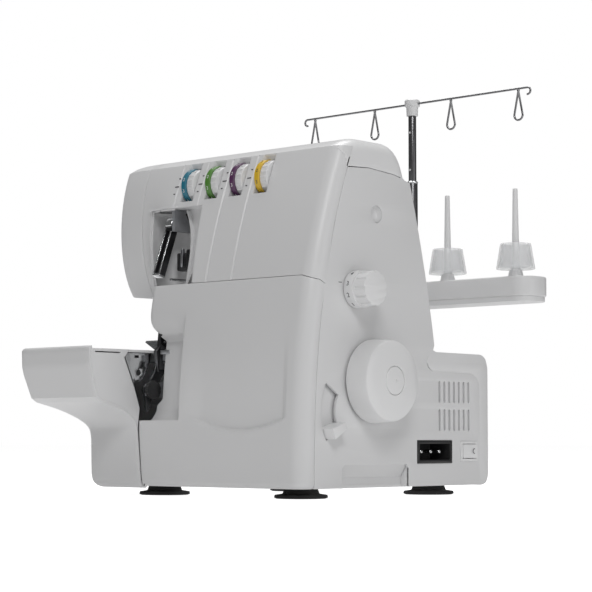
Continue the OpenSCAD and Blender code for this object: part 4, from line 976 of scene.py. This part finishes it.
# ---------------------------------------------------------------- wheel, dials, window
def handwheel():
    y, z = SHAFT_YZ
    rim = [(0, 1), (24, 1), (27, 0.2), (33.6, 0), (34.4, 0.6), (34.5, 1.6), (33.4, 19.0),
           (32.7, 20.6), (31.2, 21.6), (24, 22.8), (16, 23.6), (12.3, 23.9), (12.0, 23.5),
           (12.0, 22.4), (0, 22.4), (0, 1)]
    wheel = turned("handwheel_rim", rim, (RIGHT_X + 2, y, z), "X", 96)
    fit(settle(wheel), "main_drive", KNOB, ("handwheel",))
    button = [(0, 20), (11.6, 20), (11.6, 23.4), (11.2, 23.8), (6, 24.3), (1.3, 24.5),
              (1.1, 24.0), (0, 24.0), (0, 20)]
    cap = turned("handwheel_button", button, (RIGHT_X + 2, y, z), "X", 72)
    fit(settle(cap), "main_drive", KNOB, ("handwheel_cap",))


def mark(name, text, size, place, depth=0.2):
    """A printed figure: raised by a hair's breadth, made a mesh and put in place."""
    curve = bpy.data.curves.new(name, "FONT")
    curve.body = text
    curve.size = size * MM
    curve.align_x = curve.align_y = "CENTER"
    curve.extrude = depth / 2 * MM
    curve.resolution_u = 3
    flat = new_object(name + "_flat", curve)
    bpy.context.view_layer.update()
    mesh = bpy.data.meshes.new_from_object(flat.evaluated_get(
        bpy.context.evaluated_depsgraph_get()))
    bpy.data.objects.remove(flat)
    mesh.transform(place)
    mesh.name = name
    return new_object(name, mesh)


def join(name, parts):
    """One mesh from several objects; the sources are removed."""
    bm = bmesh.new()
    for part in parts:
        bm.from_mesh(part.data)
    mesh = bpy.data.meshes.new(name)
    bm.to_mesh(mesh)
    bm.free()
    for part in parts:
        bpy.data.objects.remove(part)
    return new_object(name, mesh)


def drum_place(x, yz, r, angle):
    """Stands a flat figure on a drum about X, angle measured from the front (-Y) upward."""
    a = math.radians(angle)
    out = Vector((0, -math.cos(a), math.sin(a)))
    up = Vector((0, math.sin(a), math.cos(a)))
    side = up.cross(out)
    spot = Vector((x * MM, yz[0] * MM, yz[1] * MM)) + out * r * MM
    return Matrix(((side.x, up.x, out.x, spot.x), (side.y, up.y, out.y, spot.y),
                   (side.z, up.z, out.z, spot.z), (0, 0, 0, 1)))


def ring_tree():
    """Geometry nodes: one rounded rib, repeated about an axis along X."""
    tree = bpy.data.node_groups.new("ribs_round_a_drum", "GeometryNodeTree")
    face = tree.interface
    for kind, label, value in (("NodeSocketInt", "Count", 18), ("NodeSocketFloat", "Radius", 0.01),
                               ("NodeSocketFloat", "Rib radius", 0.001),
                               ("NodeSocketFloat", "Rib length", 0.01),
                               ("NodeSocketVector", "Centre", None),
                               ("NodeSocketMaterial", "Finish", None)):
        socket = face.new_socket(label, in_out="INPUT", socket_type=kind)
        if value is not None:
            socket.default_value = value
    face.new_socket("Geometry", in_out="OUTPUT", socket_type="NodeSocketGeometry")
    new, link = tree.nodes.new, tree.links.new
    given, made = new("NodeGroupInput"), new("NodeGroupOutput")
    circle, rib = new("GeometryNodeMeshCircle"), new("GeometryNodeMeshCylinder")
    rib.inputs["Vertices"].default_value = 10
    link(given.outputs["Count"], circle.inputs["Vertices"])
    link(given.outputs["Radius"], circle.inputs["Radius"])
    link(given.outputs["Rib radius"], rib.inputs["Radius"])
    link(given.outputs["Rib length"], rib.inputs["Depth"])
    stamp, real = new("GeometryNodeInstanceOnPoints"), new("GeometryNodeRealizeInstances")
    place, paint = new("GeometryNodeTransform"), new("GeometryNodeSetMaterial")
    place.inputs["Rotation"].default_value = (0, math.radians(90), 0)
    link(circle.outputs["Mesh"], stamp.inputs["Points"])
    link(rib.outputs["Mesh"], stamp.inputs["Instance"])
    link(stamp.outputs[0], place.inputs["Geometry"])
    link(given.outputs["Centre"], place.inputs["Translation"])
    link(place.outputs[0], real.inputs[0])
    link(real.outputs[0], paint.inputs["Geometry"])
    link(given.outputs["Finish"], paint.inputs["Material"])
    link(paint.outputs[0], made.inputs[0])
    return tree


def row_tree():
    """Geometry nodes: one slat, repeated along a line."""
    tree = bpy.data.node_groups.new("slats_in_a_row", "GeometryNodeTree")
    face = tree.interface
    for kind, label in (("NodeSocketInt", "Count"), ("NodeSocketVector", "Start"),
                        ("NodeSocketVector", "Step"), ("NodeSocketVector", "Size"),
                        ("NodeSocketVector", "Lean"), ("NodeSocketMaterial", "Finish")):
        face.new_socket(label, in_out="INPUT", socket_type=kind)
    face.new_socket("Geometry", in_out="OUTPUT", socket_type="NodeSocketGeometry")
    new, link = tree.nodes.new, tree.links.new
    given, made = new("NodeGroupInput"), new("NodeGroupOutput")
    line, slat = new("GeometryNodeMeshLine"), new("GeometryNodeMeshCube")
    link(given.outputs["Count"], line.inputs["Count"])
    link(given.outputs["Start"], line.inputs["Start Location"])
    link(given.outputs["Step"], line.inputs["Offset"])
    link(given.outputs["Size"], slat.inputs["Size"])
    stamp, real = new("GeometryNodeInstanceOnPoints"), new("GeometryNodeRealizeInstances")
    paint = new("GeometryNodeSetMaterial")
    link(line.outputs[0], stamp.inputs["Points"])
    link(slat.outputs["Mesh"], stamp.inputs["Instance"])
    link(given.outputs["Lean"], stamp.inputs["Rotation"])
    link(stamp.outputs[0], real.inputs[0])
    link(real.outputs[0], paint.inputs["Geometry"])
    link(given.outputs["Finish"], paint.inputs["Material"])
    link(paint.outputs[0], made.inputs[0])
    return tree


def coil_tree():
    """Geometry nodes: a wire wound on a straight coil."""
    tree = bpy.data.node_groups.new("wound_spring", "GeometryNodeTree")
    face = tree.interface
    for kind, label in (("NodeSocketFloat", "Turns"), ("NodeSocketFloat", "Radius"),
                        ("NodeSocketFloat", "Height"), ("NodeSocketFloat", "Wire radius"),
                        ("NodeSocketVector", "Foot"), ("NodeSocketMaterial", "Finish")):
        face.new_socket(label, in_out="INPUT", socket_type=kind)
    face.new_socket("Geometry", in_out="OUTPUT", socket_type="NodeSocketGeometry")
    new, link = tree.nodes.new, tree.links.new
    given, made = new("NodeGroupInput"), new("NodeGroupOutput")
    wind, wire = new("GeometryNodeCurveSpiral"), new("GeometryNodeCurvePrimitiveCircle")
    wind.inputs["Resolution"].default_value = 24
    wire.inputs["Resolution"].default_value = 8
    link(given.outputs["Turns"], wind.inputs["Rotations"])
    link(given.outputs["Radius"], wind.inputs["Start Radius"])
    link(given.outputs["Radius"], wind.inputs["End Radius"])
    link(given.outputs["Height"], wind.inputs["Height"])
    link(given.outputs["Wire radius"], wire.inputs["Radius"])
    skin, place = new("GeometryNodeCurveToMesh"), new("GeometryNodeTransform")
    skin.inputs["Fill Caps"].default_value = True
    real, paint = new("GeometryNodeRealizeInstances"), new("GeometryNodeSetMaterial")
    link(wind.outputs[0], skin.inputs["Curve"])
    link(wire.outputs[0], skin.inputs["Profile Curve"])
    link(skin.outputs[0], place.inputs["Geometry"])
    link(given.outputs["Foot"], place.inputs["Translation"])
    link(place.outputs[0], real.inputs[0])
    link(real.outputs[0], paint.inputs["Geometry"])
    link(given.outputs["Finish"], paint.inputs["Material"])
    link(paint.outputs[0], made.inputs[0])
    return tree


def grown(name, tree, smooth=32, **values):
    """The mesh that a geometry tree gives for these named inputs."""
    obj = new_object(name, bpy.data.meshes.new(name))
    mod = obj.modifiers.new("shape", "NODES")
    mod.node_group = tree
    for item in tree.interface.items_tree:
        label = item.name.lower().replace(" ", "_")
        if item.in_out == "INPUT" and label in values:
            mod[item.identifier] = values[label]
    return settle(obj, smooth)


def metres(*v):
    return tuple(c * MM for c in v)


RIBS, SLATS, COIL = ring_tree(), row_tree(), coil_tree()


def tension_dials():
    for i, x in enumerate(DIAL_X):
        body, (y, z) = "dial_%d" % (i + 1), DIAL_YZ
        disc = turned("dial_disc_%d" % (i + 1), [
            (3.1, -6.8), (15.6, -6.8), (15.95, -6.5), (16.0, -6.0), (16.0, -1.9), (15.7, -1.5),
            (3.1, -1.4), (3.1, -6.8)], (x, y, z), "X", 80)
        fit(settle(disc), body, DIAL_FINISH[i], ("tension_dial_%d" % (i + 1),))
        drum = turned("dial_drum_%d" % (i + 1), [
            (3.1, -1.3), (14.4, -1.3), (14.6, -0.9), (14.6, 5.8), (14.2, 6.4), (12, 6.6),
            (3.1, 6.6), (3.1, -1.3)], (x, y, z), "X", 80)
        fit(settle(drum), body, KNOB)
        ribs = grown("dial_ribs_%d" % (i + 1), RIBS, count=20, radius=14.5 * MM,
                     rib_radius=0.7 * MM, rib_length=5.8 * MM,
                     centre=metres(x + 2.4, y, z), finish=KNOB)
        fit(ribs, body, KNOB)
        y0, y1 = front_face_y(x - 8, 253) + 2.0, front_face_y(x - 8, 281) + 7.0
        side = plate("dial_well_%d" % (i + 1), [(y0, 253), (y1, 281), (-52, 281), (-52, 253)], [],
                     onto_x(x - 8.3), 1.2, 0.1)
        fit(side, "root", SHELL)
        figures = [mark("fig", str((k + 2) % 10), 4.2,
                        drum_place(x - 4.1, DIAL_YZ, 16.0, 20 - 36 * k)) for k in range(10)]
        fit(join("dial_figures_%d" % (i + 1), figures), body,
            INK if i == 3 else PALE_INK)


def front_mark(x, z, w, h):
    """A short printed line on the front face, as a thin plate."""
    y = front_face_y(x, z)
    return build_slab("line", (x - w / 2, y - 0.35, z - h / 2), (x + w / 2, y + 0.3, z + h / 2))


def build_slab(name, low, high, edge=0.0):
    """A block between two corners, with rounded edges where asked."""
    (x0, y0, z0), (x1, y1, z1) = low, high
    points = [(x, y, z) for x in (x0, x1) for y in (y0, y1) for z in (z0, z1)]
    faces = [(0, 1, 3, 2), (4, 6, 7, 5), (0, 4, 5, 1), (2, 3, 7, 6), (0, 2, 6, 4), (1, 5, 7, 3)]
    obj = new_object(name, build_mesh(name, points, faces, 0.001))
    if edge:
        round_edges(obj, edge, 30, 3)
        settle(obj)
    return obj


def printed_marks():
    lines = []
    for middle in DIAL_X:
        for dz, w in ((8.0, 1.8), (0.6, 4.4), (-6.0, 1.8)):
            lines.append(front_mark(middle - 17.2 + dz / 8, 268 + dz, w, 0.9))
    lines.append(build_slab("tick", (RIGHT_X - 0.2, -70.2, 174.9), (RIGHT_X + 0.12, -66.2, 175.5)))
    fit(join("setting_marks", lines), "root", INK)
    numbers = [mark("num", text, 5.4, drum_place(RIGHT_X + 5.0, KNOB_YZ, 15.45, angle))
               for text, angle in (("4", 52), ("3", 14), ("2", -22), ("1", -58))]
    fit(join("knob_figures", numbers), "length_knob", INK)
    zero = turned("rocker_mark", [(1.7, 0), (2.3, 0), (2.3, 0.15), (1.7, 0.15), (1.7, 0)],
                  (RIGHT_X + 1.9, 107.0, 37.5), "X", 28)
    fit(settle(zero), "switch", INK)


def window_well():
    """The smooth inner wall behind the needle gear."""
    rows = []
    heights = steps(HEAD_Z + 1, WINDOW_TOP - 3, 3) + [WINDOW_TOP - 3, WINDOW_TOP - 0.5]
    for z in heights:
        xr, drop = window_right(z), 0.0
        if z > WINDOW_TOP - 2.9:
            drop = 6.0
        edge = [(WINDOW_LEFT + 0.6, front_face_y(WINDOW_LEFT, z) + 1.0), (-104.0, -68.0 - drop),
                (-100.0, -56.0 - drop), (-88.0, -47.0 - drop), (-68.0, -47.0 - drop),
                (xr + 2, -56.0 - drop), (xr + 1.5, front_face_y(xr, z) + 13.0)]
        row = []
        for a, b, c, d in zip([edge[0]] + edge, edge, edge[1:], edge[2:] + [edge[-1]]):
            for k in range(5):
                t = k / 5
                row.append(tuple(0.5 * (2 * b[n] + (c[n] - a[n]) * t
                                        + (2 * a[n] - 5 * b[n] + 4 * c[n] - d[n]) * t * t
                                        + (3 * b[n] - a[n] - 3 * c[n] + d[n]) * t ** 3)
                                 for n in range(2)))
        row.append(edge[-1])
        rows.append([(px, py, z) for px, py in row])
    well = sheet_piece("window_well", rows, wall=1.6, outward=1.0)
    fit(well, "root", SHELL)
    roof = plate("window_roof", [(WINDOW_LEFT, -80), (-72, -84), (-62, -78), (-62, -50),
                                 (-98, -50), (WINDOW_LEFT, -62)], [], onto_z(WINDOW_TOP + 0.8), 1.6)
    fit(roof, "root", SHELL)


def needle_gear():
    """Small parts that show in the window and round the knife."""
    lean = Matrix.Rotation(math.radians(-20), 4, "X")
    pivot = Matrix.Translation(metres(-88.5, -70.0, 235.5)) @ lean
    rails = []
    for x0 in (-0.3, 7.1):
        rails.append(build_slab("rail", (x0, -4.1, -48.3), (x0 + 1.2, -2.9, -7), 0.35))
    rails.append(build_slab("foot", (-0.3, -4.1, -49.6), (8.3, 3.2, -47.4), 0.6))
    rails.append(build_slab("clamp", (1.0, -6.4, -3.2), (8.8, -2.4, 4.8), 0.9))
    rail = join("take_up_rails", rails)
    rail.data.transform(pivot)
    fit(rail, "take_up", BRIGHT)
    screw = turned("take_up_screw", [(0, 0), (2.6, 0), (2.8, 0.3), (2.8, 1.6), (2.2, 2.2),
                                     (0, 2.3)], (-80.0, -70.0, 235.5), "X", 32)
    fit(settle(screw), "take_up", BRIGHT)
    box = join("needle_gear_box", [
        build_slab("a", (-88, -62, 196), (-66, -50, 212), 1.6),
        build_slab("b", (-72, -66, 198), (-58, -54, 214), 1.2)])
    fit(box, "root", BLACK)
    lever = build_slab("thread_lever", (-80, -65, 199), (-77.5, -61.5, 215.5), 0.7)
    fit(lever, "root", STEEL)
    knobs = [turned("k%d" % i, [(0, 0), (r, 0), (r, 2.6), (r - 0.6, 3.2), (0, 3.3)],
                    (-66.5, y, z), "X", 30) for i, (y, z, r) in enumerate(
                        ((-59.5, 208.0, 2.6), (-56.5, 203.0, 1.6)))]
    fit(settle(join("gear_screws", knobs)), "root", BRIGHT)
    horn = plate("thread_horn", [(-63, 246), (-57, 247.5), (-52, 243), (-51, 232), (-55.5, 230),
                                 (-57, 238), (-60, 241.5)], [], onto_x(-78), 5.0, 0.6)
    fit(horn, "root", BLACK)
    wire = turned("lower_guide", [(0, 0), (1.0, 0), (1.0, 34), (0, 34)], (-72.5, -84, 186.5), "Y", 16)
    fit(settle(wire), "root", BRIGHT)
    back = plate("knife_backing", [(-79.4, 66.0), (-62.4, 66.0), (-62.4, 123.0), (-79.4, 123.0)],
                 [], onto_y(-80.6), 1.6, 0.3)
    fit(back, "root", SHELL)
    carrier = plate("knife_carrier", [(-95, 106), (-86, 104), (-83, 120), (-82, 146), (-91, 148),
                                      (-93, 128), (-97, 124)], [], onto_x(-77.8), 4.0, 0.6)
    fit(carrier, "knife", BLACK_STEEL)
    dots = [turned("dot", [(0, 0), (1.0, 0), (1.0, 0.5), (0, 0.6)], (-75.8, y, z), "X", 16)
            for y, z in ((-88, 132), (-87, 125), (-87.5, 138), (-89, 114))]
    fit(settle(join("carrier_rivets", dots)), "knife", BRIGHT)


def spool_stand():
    low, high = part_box("spool_tray")
    x0, x1 = low.x / MM, high.x / MM - 3.0
    y0, y1 = low.y / MM, high.y / MM
    z1 = high.z / MM

    def ring(d, r):
        """A rectangle drawn in by d, its corners rounded to r."""
        corners = ((x1 - d - r, y1 - d - r, 0), (x0 + d + r, y1 - d - r, 90),
                   (x0 + d + r, y0 + d + r, 180), (x1 - d - r, y0 + d + r, 270))
        return [(cx + r * math.cos(a + math.radians(turn)), cy + r * math.sin(a + math.radians(turn)))
                for cx, cy, turn in corners for a in quarter(8)]

    tray = plate("spool_tray_top", ring(0.0, 17.0), [], onto_z(z1 - 4.2), 17.4, 1.4)
    fit(tray, "root", SHELL, ("spool_tray",))
    lip = plate("spool_tray_lip", ring(1.4, 15.6), [], onto_z(z1 - 15.0), 4.6, 0.5)
    fit(lip, "root", SHELL)


def mains_inlet():
    pins = [turned("pin", [(0, -11), (1.5, -11), (1.5, -4.4), (1.2, -4.0), (0, -3.9)],
                   (RIGHT_X, y, 37.4), "X", 20) for y in (41.0, 53.7, 65.4)]
    fit(settle(join("inlet_prongs", pins)), "root", BRIGHT, ("inlet_pins",))


def repeated_details():
    slats = [grown("vent_slats_%d" % i, SLATS, count=7,
                   start=metres(RIGHT_X - 4.2, VENT_Y[0] + 1.9, z + VENT_H / 2),
                   step=metres(0, VENT_STEP, 0), size=metres(1.0, 5.2, VENT_H + 3),
                   lean=(0, 0, math.radians(16)), finish=SHELL)
             for i, z in enumerate(VENT_Z)]
    fit(join("vent_slats", slats), "root", SHELL)
    teeth = [grown("teeth_%d" % i, SLATS, count=19, start=metres(x + 1.5, -57.5, BED_Z - 0.15),
                   step=metres(0, 2.2, 0), size=metres(2.8, 0.9, 0.9),
                   lean=(math.radians(45), 0, 0), finish=STEEL)
             for i, x in enumerate((-101.5, -82.0))]
    fit(join("feed_teeth", teeth), "feed", STEEL)
    low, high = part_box("presser_spring")
    spring = grown("presser_spring_coil", COIL, turns=9.0, radius=6.1 * MM,
                   height=high.z - low.z - 1.4 * MM, wire_radius=0.62 * MM,
                   foot=(-0.09, -0.02, low.z + 0.7 * MM), finish=STEEL)
    fit(spring, "root", STEEL, ("presser_spring",))
    joints = []
    for z, r in ((328.5, 3.7), (294.0, 3.7)):
        joints.append(turned("dot", [(0, 0), (1.0, 0), (1.0, 0.3), (0, 0.3)],
                             (STAND_X, STAND_Y - r, z), "Y", 16))
    fit(settle(join("column_dots", joints)), "column_top", KNOB)
    collar = turned("column_collar", [(3.7, 0), (4.8, 0), (4.9, 0.3), (4.9, 1.4), (4.4, 1.9),
                                      (3.7, 1.9), (3.7, 0)], (STAND_X, STAND_Y, 281.6), "Z", 40)
    fit(settle(collar), "root", BRIGHT)


left_cover()
right_cover()
handwheel()
tension_dials()
printed_marks()
window_well()
needle_gear()
spool_stand()
mains_inlet()
repeated_details()


# ---------------------------------------------------------------- copies of the frame's parts
for node, finish, slot, edge in (
        ("rear_cover", SHELL, "shell_white", 0.8), ("stitch_knob", KNOB, "knob_white", 0.5),
        ("feed_lever", KNOB, "knob_white", 0.6), ("power_rocker", KNOB, "knob_white", 0.5),
        ("switch_frame", KNOB, "shell_white", 0.4), ("inlet_socket", BLACK, "black_plastic", 0.4),
        ("stand_bracket", SHELL, "shell_white", 0.8), ("spool_pins", KNOB, "knob_white", 0.4),
        ("spool_cones", CLEAR, "cone_clear", 0.3), ("thread_column", TUBE, "tube_dark", 0.3),
        ("column_rod", TUBE, "tube_dark", 0.2), ("column_cap", KNOB, "knob_white", 0.4),
        ("guide_wire", WIRE, "bright_steel", 0.0), ("thread_eyelets", WIRE, "bright_steel", 0.0),
        ("feet", RUBBER, "rubber_black", 0.3), ("bottom_cover", SHELL, "shell_white", 0.6),
        ("presser_foot", BRIGHT, "bright_steel", 0.4), ("needle_clamp", STEEL, "steel", 0.5),
        ("needle_bar", BRIGHT, "bright_steel", 0.3), ("presser_bar", BRIGHT, "bright_steel", 0.3),
        ("take_up_lever", BLACK_STEEL, "black_steel", 0.5), ("needle_plate", STEEL, "steel", 0.4),
        ("feed_dog", STEEL, "steel", 0.0), ("knife_arm", BLACK_STEEL, "black_steel", 0.4),
        ("knife_knob", BLACK, "black_plastic", 0.5), ("lifter_lever", KNOB, "knob_white", 0.8)):
    cad_copy(node, finish, edge)

for node, finish in (("base_frame", CAST), ("base_screws", BRIGHT), ("door_hinge_rod", STEEL),
                     ("main_shaft", STEEL), ("shaft_bushes", BRONZE), ("shaft_pulley", BLACK),
                     ("timing_belt", BELT), ("motor", BLACK_STEEL), ("motor_pulley", STEEL),
                     ("motor_bracket", CAST), ("needle_rod", STEEL), ("rocker_shaft", STEEL),
                     ("needles", BRIGHT), ("lower_looper", BRIGHT),
                     ("upper_looper", BRIGHT), ("fixed_knife", STEEL),
                     ("moving_knife", BLACK_STEEL), ("dial_axle", STEEL),
                     ("tension_discs", BRIGHT)):
    for place in frame["nodes"][node].material_slots:
        place.link = "DATA"
        place.material = finish


# ---------------------------------------------------------------- studio
def shown_to_camera(tree, base, shown, sink):
    """Sends one shader to the camera and another to the light that bounces."""
    seen = tree.nodes.new("ShaderNodeMixShader")
    tree.links.new(tree.nodes.new("ShaderNodeLightPath").outputs["Is Camera Ray"],
                   seen.inputs[0])
    tree.links.new(base.outputs[0], seen.inputs[1])
    tree.links.new(shown.outputs[0], seen.inputs[2])
    tree.links.new(seen.outputs[0], tree.nodes[sink].inputs["Surface"])


def studio():
    corners = [(-GROUND, -GROUND, 0), (GROUND, -GROUND, 0), (GROUND, GROUND, 0),
               (-GROUND, GROUND, 0)]
    floor_mesh = build_mesh("floor", corners, [(0, 1, 2, 3)])
    floor = new_object("floor", floor_mesh)
    pale = bpy.data.materials.new("floor_pale")
    pale.use_nodes = True
    tree = pale.node_tree
    ground = tree.nodes["Principled BSDF"]
    ground.inputs["Base Color"].default_value = (0.55, 0.55, 0.55, 1)
    ground.inputs["Roughness"].default_value = 0.9
    ground.inputs["Emission Color"].default_value = (1, 1, 1, 1)
    ground.inputs["Emission Strength"].default_value = 0.36
    paper = tree.nodes.new("ShaderNodeEmission")
    paper.inputs["Strength"].default_value = 0.56
    both = tree.nodes.new("ShaderNodeAddShader")
    tree.links.new(ground.outputs[0], both.inputs[0])
    tree.links.new(paper.outputs[0], both.inputs[1])
    shown_to_camera(tree, ground, both, "Material Output")
    floor_mesh.materials.append(pale)

    world = bpy.data.worlds.new("studio")
    world.use_nodes = True
    tree = world.node_tree
    fill = tree.nodes["Background"]
    fill.inputs["Color"].default_value = (1, 1, 1, 1)
    fill.inputs["Strength"].default_value = 0.12
    paper = tree.nodes.new("ShaderNodeBackground")
    paper.inputs["Color"].default_value = (1, 1, 1, 1)
    shown_to_camera(tree, fill, paper, "World Output")
    bpy.context.scene.world = world

    for name, place, aim, power, size in (
            ("key_light", (1.6, -1.4, 1.7), (0, 0, 0.15), 19, 0.8),
            ("side_light", (2.5, 0.2, 0.5), (0, 0, 0.12), 5.5, 1.2),
            ("top_light", (-0.3, 0.3, 2.2), (0, 0, 0.2), 34, 1.4)):
        lamp = bpy.data.lights.new(name, "AREA")
        lamp.energy = power
        lamp.size = size
        holder = new_object(name, lamp)
        holder.location = place
        turn = (Vector(aim) - Vector(place)).to_track_quat("-Z", "Y")
        holder.rotation_euler = turn.to_euler()

    lens = bpy.data.cameras.new("camera")
    lens.sensor_width = 36.0
    lens.lens = 118.15
    camera = new_object("camera", lens)
    camera.location = (1.1481, -1.2509, 0.0492)
    camera.rotation_euler = (math.radians(90 + 4.17), 0, math.radians(42.58))
    bpy.context.scene.camera = camera
    bpy.context.scene.view_settings.view_transform = "Standard"


studio()
